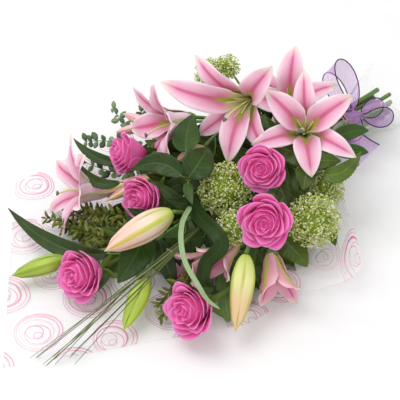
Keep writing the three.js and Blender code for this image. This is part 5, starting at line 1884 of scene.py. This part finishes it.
@dataclass
class Foliage:
    """Broad leaves with their stalks, and the long narrow ones."""

    thickness: float = 0.7
    under_step: float = 8
    under_end: float = 160

    def grid(self, leaf: Leaf, seed: float) -> Array:
        """Grid of a broad leaf.

        Along its midrib t the half width is a power of a sine of t, cut by a saw of fine teeth
        where the edge is toothed. The halves rise by 0.22 of their width from the midrib, swell
        between the side veins and wave along the edge.

        Args:
            leaf: its midrib, width and edge.
            seed: phase of its waves.

        Returns:
            (rows, 13, 3) places.
        """
        toothed = leaf.edge is Edge.TOOTHED
        rows, columns = (65, 13) if toothed else (33, 13)
        line = bow_line(leaf.root, leaf.middle, leaf.tip, rows)
        t = np.linspace(0, 1, rows)
        if toothed:
            half = 0.5 * np.sin(math.pi * (0.05 + 0.95 * t) ** 0.72) ** 0.7
            half *= 1 - 0.12 * ((16 * t) % 1) * smoothstep(t, 0.02, 0.1)
        else:
            half = 0.5 * np.sin(math.pi * (0.03 + 0.97 * t) ** 0.8) ** 0.8
        half = np.maximum(0.5, leaf.width * half)
        grid = band_grid(line, half, 0.22, columns)
        u = np.linspace(1, -1, columns)[None]
        wave = 0.07 * half[:, None] * u * np.sin(9 * t[:, None] + 1)
        wave += 0.05 * half[:, None] * u * u * np.sin(17 * t[:, None] + seed)
        if leaf.width > 16:
            swell = np.sin(TAU * (8 * t[:, None] - 1.4 * np.abs(u)))
            wave += 0.35 * swell * np.abs(u) * (1 - np.abs(u)) * 2
        return grid + grid_normals(grid) * wave[..., None]

    def leaves(self, piece: Piece, name: str, stems: Stems, finish: Finish, stem: Finish) -> None:
        """Adds a stem's broad leaves to its piece.

        Args:
            piece: piece to add to.
            name: the stem.
            stems: the lines of the stems.
            finish: finish of the blades.
            stem: finish of the stalks.
        """
        chance = np.random.default_rng(seed_of(name))
        for leaf in LEAVES.get(name, []):
            joint = leaf.joint if leaf.joint is not None else stems.join(name, leaf.root, 20)
            grid = self.grid(leaf, chance.uniform(0, TAU))
            piece.add(blade(grid, self.thickness, chance.uniform(0.15, 0.9)), finish)
            ahead = unit(leaf.middle - leaf.root)
            middle = (joint + leaf.root) / 2 - ahead * 0.08 * np.linalg.norm(joint - leaf.root)
            line = smooth_line([joint, middle, leaf.root, leaf.root + ahead * 4], 12)
            piece.add(tube(line, np.linspace(1.2, 0.6, 12), 6), stem)

    def under_leaves(self, piece: Piece, name: str, stems: Stems, finish: Finish) -> None:
        """Adds the low leaves of a stem that show between the flowers, each where its tip lies
        behind one of them as seen from the showy side."""
        chance = np.random.default_rng(900 + seed_of(name))
        curve = stems.curves[name]
        run = np.concatenate([[0], np.cumsum(np.linalg.norm(np.diff(curve, axis=0), axis=1))])
        for k, place in enumerate(np.arange(self.under_step, run[-1], self.under_step)):
            at = int(np.searchsorted(run, place))
            root = curve[at]
            if root[0] > self.under_end:
                break
            back = unit(curve[at - 1] - root)
            turn = math.radians(chance.uniform(25, 75)) * (1 if k % 2 else -1)
            rise = chance.uniform(-0.1, 0.25)
            across = unit(np.cross(back, SHOW_OUT))
            out = unit(back * math.cos(turn) + across * math.sin(turn) + SHOW_OUT * rise)
            reach = chance.uniform(42, 66)
            middle = root + out * reach / 2 + SHOW_OUT * chance.uniform(3, 8)
            tip = root + out * reach
            width = chance.uniform(15, 23)
            # Tone from the darker half only: these leaves lie under the blooms and are painted
            # darker as shade.
            tone, seed = chance.uniform(0, 0.5), chance.uniform(0, TAU)
            if not (under_bloom(tip) and under_bloom(middle)):
                continue
            middle[2], tip[2] = max(middle[2], 6), max(tip[2], 4)
            grid = self.grid(Leaf(root, middle, tip, width), seed)
            piece.add(blade(grid, self.thickness, tone), finish)

    def strap(self, name: str, points: Sequence[Array], width: float, fold: float) -> Array:
        """Grid of a long narrow leaf along given points: its half width grows from the
        start and closes at the tip as the square root of 1 - v^5."""
        line = smooth_line([STARTS[name].place, *points], 61)
        v = np.linspace(0, 1, 61)
        half = width / 2 * np.minimum(1, 0.35 + 4 * v) * np.sqrt(np.maximum(0, 1 - v**5))
        return band_grid(line, np.maximum(0.4, half), fold, 9)

    def build_stem(self, name: str, stems: Stems, roses: RoseBlooms) -> None:
        """Builds a flower's stem with its stalks, hip and leaves."""
        piece = Piece(f"{name}_and_leaves", "green_leaf", (name,))
        if name.startswith("rose"):
            rose = ROSES[int(name[-1]) - 1]
            stems.grow(piece, name, ROSE_STEM)
            roses.hip(piece, rose)
            self.leaves(piece, name, stems, ROSE_LEAF, ROSE_STEM)
            self.under_leaves(piece, name, stems, ROSE_LEAF)
        elif name.startswith("salal"):
            stems.grow(piece, name, FINE_STEM, 8)
            self.leaves(piece, name, stems, SALAL_LEAF, FINE_STEM)
        else:
            stems.grow(piece, name, LILY_STEM, 12)
            for flower in CARRIED[name]:
                if flower in LILIES:
                    away = -LILIES[flower].axis
                    foot = LILIES[flower].base + 3.0 * away
                else:
                    away = unit(BUDS[flower].base - BUDS[flower].tips[0])
                    foot = BUDS[flower].base + 0.2 * away
                stems.stalk(piece, name, foot, away, SHORT_RUNS.get(flower, STALK_RUN), LILY_STEM)
            self.leaves(piece, name, stems, LILY_LEAF, LILY_STEM)
            self.under_leaves(piece, name, stems, LILY_LEAF)
        piece.build()


STALK_RUN = 34
SHORT_RUNS = {"bud_1": 20, "lily_3": 14}
CARRIED = {
    "lily_stem_1": ["lily_2", "lily_3"],
    "lily_stem_2": ["lily_4", "bud_5"],
    "lily_stem_3": ["lily_5", "lily_1", "bud_7", "bud_6"],
    "lily_stem_4": ["bud_1", "bud_3", "bud_2"],
    "lily_stem_5": ["bud_4", "lily_6", "lily_7", "lily_8"],
}
STRAP_POINTS = [
    (-62, -30, 70), (-74, -75, 84), (-79, -91, 77), (-98, -88, 60),
    (-110, -98, 46), (-104, -114, 34),
]
STRIP_POINTS = [
    (-70, -24, 80), (-99, -47, 94), (-119, -69, 93), (-133, -94, 90),
    (-144, -127, 93), (-145, -145, 84), (-139, -159, 76),
]
FOLDED_POINTS = [(-72, -90, 10), (-90, -114, 8), (-107, -138, 7)]
GRASS_POINTS = [
    (vec(-154, -55, 65), vec(-309, -37, 3)),
    (vec(-156, -59, 61), vec(-300, -47, 4)),
    (vec(-151, -63, 61), vec(-269, -64, 3)),
    (vec(-153, -51, 57), vec(-286, -50, 7)),
]
SPRIG_POINTS = {
    "eucalyptus_1": [
        [(0, 157, 50), (-16, 177, 48), (-9, 209, 50)],
        [(5, 160, 60), (17, 180, 66)],
    ],
    "eucalyptus_2": [
        [(-30, 142, 44), (-53, 171, 42), (-70, 190, 38)],
        [(-50, 118, 24), (-68, 136, 22), (-84, 176, 20)],
    ],
    "filler_1": [
        [(-132, 42, 24), (-162, 70, 22), (-170, 105, 20)],
        [(-136, 34, 18), (-166, 44, 18), (-190, 78, 16)],
        [(-128, 52, 24), (-158, 88, 24), (-181, 126, 20)],
        [(-134, 30, 22), (-160, 60, 30), (-176, 92, 26)],
        [(-130, 38, 16), (-152, 58, 20), (-166, 74, 34)],
        [(-116, 72, 24), (-130, 98, 22), (-150, 124, 18)],
        [(-112, 60, 30), (-136, 84, 28), (-158, 108, 22)],
    ],
    "filler_2": [
        [(-104, -68, 16), (-138, -84, 16), (-166, -86, 15)],
        [(-98, -78, 15), (-128, -98, 15)],
        [(-104, -64, 22), (-136, -70, 24), (-160, -74, 18)],
        [(-90, -84, 16), (-112, -112, 16)],
    ],
}


# ---- sprigs and grass


def leaflet_form(slender: float) -> tuple[Array, Array, Array]:
    """Small cupped leaf of length one along y: a nine-cornered outline with a midrib of two
    points on each face, eleven triangles to a face.

    Args:
        slender: its width as a share of its length.

    Returns:
        Its points, its faces and the faces' UV.
    """
    outline = np.array([
        (0.03, 0.0), (0.34, 0.2), (0.5, 0.48), (0.36, 0.78), (0.0, 1.0),
        (-0.36, 0.78), (-0.5, 0.48), (-0.34, 0.2), (-0.03, 0.0),
    ])
    across = outline[:, 0]
    rim = np.column_stack([across * slender, outline[:, 1], 0.28 * np.abs(across) * slender])
    ribs = np.array([[0, 0.35, -0.02], [0, 0.7, -0.02], [0, 0.35, -0.07], [0, 0.7, -0.07]])
    points = np.vstack([rim, ribs])
    count = len(rim)
    half = np.array([
        [0, 1, 9], [1, 2, 9], [2, 10, 9], [2, 3, 10], [3, 4, 10], [4, 5, 10], [5, 6, 10],
        [6, 9, 10], [6, 7, 9], [7, 8, 9], [8, 0, 9],
    ])
    other = half[:, ::-1].copy()
    other[other >= count] += 2
    faces = np.vstack([half, other])
    return points, faces, points[faces][..., :2]


@dataclass
class Sprigs:
    """Sprigs of small leaves in pairs along thin branching stems."""

    size: float
    slender: float
    step: float
    finish: ToneFinish
    slot: str

    def build(self, name: str, stems: Stems) -> None:
        """Builds one sprig: each pair of leaves stands across the last, turned by a fixed
        angle along the branch, and the leaves grow smaller towards its tip."""
        piece = Piece(f"{name}_sprig", self.slot, (name,))
        stems.grow(piece, name, FINE_STEM, 7)
        for branch, points in enumerate(SPRIG_POINTS[name]):
            chance = np.random.default_rng(17 * branch + seed_of(name))
            line = smooth_line([STARTS[name].place, *points], 60)
            piece.add(tube(line, np.linspace(1.0, 0.5, 60), 6, 0.4), self.finish)
            length = np.linalg.norm(np.diff(line, axis=0), axis=1).sum()
            count = int(length / self.step)
            k = np.arange(1, count + 1)
            share = 0.12 + 0.86 * k / count
            at = (share * 59).astype(int)
            root = line[at]
            along = unit(np.gradient(line, axis=0))[at]
            turn = k * 1.9 + chance.uniform(0, 1, count)
            side = SHOW_UP * np.cos(turn)[:, None] + SHOW_OUT * np.sin(turn)[:, None]
            side = unit(side - along * (side * along).sum(1, keepdims=True))
            for way in (1, -1):
                size = self.size * chance.uniform(0.75, 1.2, count) * (1.1 - 0.45 * share)
                out = unit(way * side + along * chance.uniform(0.3, 0.8, (count, 1)))
                up = unit(np.cross(along, side) * 0.3 + SHOW_OUT)
                x = unit(np.cross(out, up))
                axes = np.stack([x, out, np.cross(x, out)], axis=2) * size[:, None, None]
                tone = chance.uniform(0, 1, count)
                piece.add(scatter(leaflet_form(self.slender), root, axes, tone), self.finish)
        piece.build()


def build_grass(stems: Stems) -> None:
    """Builds the grass: a dozen thin keeled blades, three to each line of the bundle."""
    piece = Piece("grass_blades", "green_leaf", ("grass",))
    stems.grow(piece, "grass", FINE_STEM, 8)
    chance = np.random.default_rng(5)
    for middle, tip in GRASS_POINTS:
        for k in range(3):
            aside = chance.normal(0, 1, 3) * vec(1, 1.6, 0.8)
            end = tip + chance.normal(0, 1, 3) * vec(5, 5, 0)
            end[0] = max(end[0], -318 + 8 * k)
            start = STARTS["grass"].place + chance.normal(0, 0.8, 3)
            line = smooth_line([start, middle + aside, end], 24)
            radius = 0.85 * np.sqrt(np.linspace(1, 0.12, 24))
            piece.add(tube(line, radius, 4, chance.uniform(0, 1)), GRASS)
    piece.build()


# ---- wrap, band and bow


@dataclass
class Wrap:
    """The film: flat under the flowers, gathered at the tie, flared round the stem ends."""

    near: tuple = (
        (-337, -22), (-91, -149), (-10, -160), (56, -212), (140, -176), (196, -110),
        (234, -98), (326, -86),
    )
    far: tuple = (
        (-165, 218), (-80, 212), (-20, 205), (70, 182), (150, 142), (196, 108),
        (234, 97), (326, 92),
    )
    ring: float = 25
    gather: tuple[float, float] = (20, 196)
    flare: tuple[float, float] = (232, 330)
    flare_rise: float = 26
    flap_rise: float = 26
    crease_rise: float = 3.0
    pleat: float = 2.3
    pleats: int = 5
    fine_pleats: int = 17
    half_turn: float = 2.65
    thickness: float = 0.3
    half_sheet: float = 0.35

    def build(self) -> None:
        """Builds the film.

        A place at shares v along and u across lies between the near and the far edge; the
        further it is towards the tie, the more it leaves the flat cut for a pleated ring round
        the stems, which opens again beyond the tie. The near edge lifts off the table before
        the tie, and shallow creases run into the gathers. The UV map is the flat cut in metres.
        """
        v, u = spans(141, 121)
        known = np.linspace(0, 1, len(self.near))
        near, far = (
            np.stack([np.interp(v, known, np.array(edge)[:, k]) for k in (0, 1)], axis=-1)
            for edge in (self.near, self.far)
        )
        flat = near + (far - near) * ((u + 1) / 2)[..., None]
        x, y = flat[..., 0], flat[..., 1]
        flared = smoothstep(x, *self.flare)
        gathered = smoothstep(x, *self.gather) * (1 - 0.3 * flared)
        angle = u * self.half_turn
        pleat = self.pleat * np.cos(math.pi * self.pleats * (u + 1))
        pleat += 0.7 * smoothstep(x, 60, 190) * np.cos(math.pi * self.fine_pleats * u + 1.3)
        ring = self.ring + pleat + self.flare_rise * flared
        flap = self.flap_rise * smoothstep(-u, 0.5, 1) * smoothstep(x, -30, 50)
        flap *= 1 - smoothstep(x, 90, 190)
        crease = smoothstep(x, -60, 150) * (1 - gathered) * self.crease_rise
        crease *= 0.5 + 0.5 * np.sin(24 * u + 0.01 * x)
        flap += crease * smoothstep(np.abs(u), 0.1, 0.6)
        lift = 0.8 * (0.5 + 0.5 * np.sin(0.05 * x + 2 * np.sin(0.03 * y))) * (1 - gathered)
        rise = TIE.z - ring * np.cos(angle) - self.half_sheet
        level = self.half_sheet + rise * gathered + flap
        grid = np.stack([
            x,
            y + (TIE.y + ring * np.sin(angle) - y) * gathered,
            np.maximum(self.half_sheet, level) + lift,
        ], axis=-1)
        piece = Piece("film_wrap_sheet", "film", ("film_wrap",))
        piece.add(blade(grid, self.thickness, 0.5, flat * MM), FILM)
        piece.build()

    @staticmethod
    def flat_area(flat: Array) -> float:
        """Area of the cut in square metres: half the sum of the cross products round its rim."""
        rim = rim_of(flat)
        after = np.roll(rim, -1, axis=0)
        cross = rim[:, 0] * after[:, 1] - rim[:, 1] * after[:, 0]
        return float(abs(cross.sum()) / 2) * MM * MM


@dataclass
class Bow:
    """Organza ribbon: a ring round the tie, a knot, two loops and a tail, edged with wire."""

    ring: float = 29.4
    width: float = 22
    loop_width: float = 34
    thickness: float = 0.35
    wire: float = 0.75
    roll: float = math.radians(-60)
    knot: Array = field(
        default_factory=lambda: vec(TIE.x - 2, TIE.y, TIE.z) + 37.6 * vec(0, -0.608, 0.794),
    )
    loops: dict = field(default_factory=lambda: {
        "ribbon_loop_1": (vec(236, 46, 94), 17), "ribbon_loop_2": (vec(254, -40, 62), 15),
    })
    tail: tuple = (vec(200, -22, 56), vec(196, -40, 42), vec(204, -58, 26))

    def length(self, node: str, part: str, grid: Array) -> bpy.types.Object:
        """Builds a length of ribbon with a wire along each of its long edges."""
        piece = Piece(f"{node}_{part}", "ribbon", (node,))
        piece.add(blade(grid, self.thickness), ORGANZA)
        for edge in (grid[:, 0], grid[:, -1]):
            piece.add(tube(edge, self.wire, 6), WIRE)
        return piece.build()

    def strip(self, radius: float, width: float, steps: int) -> Array:
        """Grid of a strip round the tie, open by a few degrees under the knot."""
        v, u = spans(steps, 9)
        angle = math.atan2(SHOW_OUT[1], SHOW_OUT[2]) + 0.08 + (TAU - 0.16) * v
        reach = radius + 0.4 * np.cos(9 * u + 14 * v)
        return np.stack([
            TIE.x + u * width / 2, TIE.y + reach * np.sin(angle), TIE.z + reach * np.cos(angle),
        ], axis=-1)

    def loop(self, tip: Array, belly: float) -> Array:
        """Grid of a loop: out from the knot and back along a cosine, its two runs apart by a
        sine, narrow at the knot and full at the tip, with gathers that fade towards the tip,
        all rolled about its own length.

        Args:
            tip: the loop's far end.
            belly: half the distance between its two runs.

        Returns:
            (61, 17, 3) places.
        """
        out = tip - self.knot
        reach = float(np.linalg.norm(out))
        out = out / reach
        lift = unit(SHOW_OUT - out * (SHOW_OUT @ out))
        side = np.cross(out, lift)
        c, s = math.cos(self.roll), math.sin(self.roll)
        lift, side = lift * c + np.cross(out, lift) * s, side * c + np.cross(out, side) * s
        v, u = spans(61, 17)
        along = 11 + (reach - 11) * (1 - np.cos(TAU * v)) / 2
        full = np.sin(math.pi * v)
        bulge = belly * np.sin(TAU * v) * np.abs(full) ** 0.6 + 2 * np.cos(math.pi * v)
        bulge = bulge + (1.6 * (1 - full) + 0.5) * np.cos(13 * u + 2 * v)
        half = self.loop_width / 2 * (0.22 + 0.78 * np.abs(full) ** 0.7)
        parts = ((along, out), (bulge, lift), (half * u, side))
        return self.knot + sum(size[..., None] * way for size, way in parts)

    def build(self) -> None:
        """Builds the ribbon's pieces."""
        made = self.length("ribbon_ring", "band", self.strip(self.ring, self.width, 73))
        for name, (tip, belly) in self.loops.items():
            grid = self.loop(tip, belly)
            reach = float(np.linalg.norm(np.diff(grid[:, 8], axis=0), axis=1).sum()) * MM
            made = self.length(name, "organza", grid)
        v, u = spans(25, 17)
        a, b, c = self.tail
        share = v[:, :1]
        line = (1 - share) ** 2 * a + 2 * share * (1 - share) * b + share**2 * c
        side = unit(np.cross(np.gradient(line, axis=0), SHOW_OUT))
        wave = 3 * np.cos(TAU * u * v)
        half = u * (5 + 14 * v)
        grid = line[:, None] + side[:, None] * half[..., None] + SHOW_OUT * wave[..., None]
        made = self.length("ribbon_tail", "organza", grid)
        self.build_knot()

    def build_knot(self) -> None:
        """Builds the knot: a rounded body with soft folds drawn over it."""
        place = flower_place(self.knot, SHOW_OUT, 0.4)
        t = np.linspace(0.04, 0.96, 22)[:, None] * math.pi
        angle = round_angles(32)[None]
        folds = 1 + 0.07 * np.cos(7 * angle + 2 * t)
        rings = np.stack([
            9 * np.sin(t) * np.cos(angle) * folds, 8 * np.sin(t) * np.sin(angle) * folds,
            6 * np.cos(t) + 0 * angle,
        ], axis=-1)
        piece = Piece("ribbon_knot_organza", "ribbon", ("ribbon_knot",))
        high, low = (place.put(vec(0, 0, way * 6)) for way in (1, -1))
        piece.add(loft(place.put(rings), high, low), ORGANZA)
        piece.build()

    def build_band(self) -> None:
        """Builds the binding: turns of twine round the stems."""
        piece = Piece("binding_band_twine", "binding", ("binding_band",))
        turns = 9
        for k in range(turns):
            v = np.linspace(0, 1, 61)
            angle = TAU * v + 0.7 * k
            x = TIE.x + TIE.band_width * ((k + 0.5) / turns - 0.5)
            line = np.stack([
                np.full_like(v, x), TIE.y + (TIE.band - 0.9) * np.sin(angle),
                TIE.z + (TIE.band - 0.9) * np.cos(angle),
            ], axis=1)
            piece.add(tube(line, 0.85, 6), TWINE)
        piece.build()


# ---- studio


@dataclass
class Studio:
    """Plain pale floor, soft lights and the camera at the photograph's angle."""

    target: Array = field(default_factory=lambda: vec(0, 40, 0))
    distance: float = 1400
    focal_pixels: float = 1094
    frame_pixels: float = 400
    sensor: float = 36

    def camera(self) -> None:
        """Makes the camera: 45 degrees up, turned 40 degrees round the bouquet."""
        data = bpy.data.cameras.new("photograph")
        data.sensor_width = self.sensor
        data.lens = self.focal_pixels / self.frame_pixels * self.sensor
        data.clip_start, data.clip_end = 0.05, 20
        eye = bpy.data.objects.new("photograph", data)
        bpy.context.scene.collection.objects.link(eye)
        eye.location = Vector((self.target + SHOW_OUT * self.distance) * MM)
        eye.rotation_mode = "QUATERNION"
        eye.rotation_quaternion = Vector(-SHOW_OUT).to_track_quat("-Z", "Y")
        bpy.context.scene.camera = eye

    def lights(self) -> None:
        """Makes a large soft box over the bouquet, a low fill and an even white surround."""
        world = bpy.data.worlds.new("surround")
        bpy.context.scene.world = world
        world.use_nodes = True
        back = world.node_tree.nodes["Background"]
        back.inputs["Color"].default_value = (1, 1, 1, 1)
        back.inputs["Strength"].default_value = 0.85
        boxes = [
            ("soft_box", (-0.35, 0.45, 1.5), 1.1, 10),
            ("fill_box", (-1.1, -1.0, 0.9), 1.0, 2),
        ]
        for name, place, size, power in boxes:
            data = bpy.data.lights.new(name, "AREA")
            data.shape = "DISK"
            data.size = size
            data.energy = power
            lamp = bpy.data.objects.new(name, data)
            bpy.context.scene.collection.objects.link(lamp)
            lamp.location = place
            lamp.rotation_mode = "QUATERNION"
            lamp.rotation_quaternion = Vector(place).to_track_quat("Z", "Y")

    def floor(self) -> None:
        """Makes the floor, a thin slab whose top lies under the film."""
        v, u = np.meshgrid(np.linspace(-2500, 2500, 9), np.linspace(-2500, 2500, 9), indexing="ij")
        grid = np.stack([v, u, np.full_like(v, -1.0)], axis=-1)
        piece = Piece("floor", "film")
        piece.add(blade(grid, 1.0), FLOOR)
        piece.build(rides=False)


def main() -> None:
    """Builds everything in order."""
    logging.basicConfig(level=logging.INFO, format="%(name)s: %(message)s")
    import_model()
    studio = Studio()
    studio.camera()
    stems = Stems()
    stems.lay()
    roses = RoseBlooms()
    foliage = Foliage()
    for name in STARTS:
        if name.split("_")[0] in ("rose", "lily", "salal"):
            foliage.build_stem(name, stems, roses)
    for k, rose in enumerate(ROSES):
        roses.bloom(k + 1, rose)
    lilies = LilyBlooms()
    for name, lily in LILIES.items():
        lilies.bloom(name, lily)
        if lily.pistil:
            lilies.stamens(name, lily)
    buds = ClosedBuds()
    for name, bud in BUDS.items():
        buds.build(name, bud)
    umbels = Umbels()
    for name in UMBELS:
        umbels.build(name, stems)
    long_leaves = [
        ("strap_leaf", STRAP_POINTS, 18, 0.3, STRAP_LEAF, "green_leaf"),
        ("strip_leaf", STRIP_POINTS, 6, 0.3, STRIP_LEAF, "pale_leaf"),
        ("folded_leaf", FOLDED_POINTS, 20, 0.5, MATTE_LEAF, "pale_leaf"),
    ]
    for name, points, width, fold, finish, slot in long_leaves:
        piece = Piece(f"{name}_blade", slot, (name,))
        stems.grow(piece, name, FINE_STEM, 8)
        piece.add(blade(foliage.strap(name, points, width, fold), 0.7), finish)
        piece.build()
    build_grass(stems)
    eucalyptus = Sprigs(17, 0.6, 12, GREY_LEAF, "grey_leaf")
    filler = Sprigs(16, 0.32, 4, OLIVE_LEAF, "green_leaf")
    for name in SPRIG_POINTS:
        (eucalyptus if name.startswith("euca") else filler).build(name, stems)
    bow = Bow()
    bow.build_band()
    bow.build()
    Wrap().build()
    studio.lights()
    studio.floor()
    bpy.context.scene.view_settings.view_transform = "Standard"


if __name__ == "__main__":
    main()
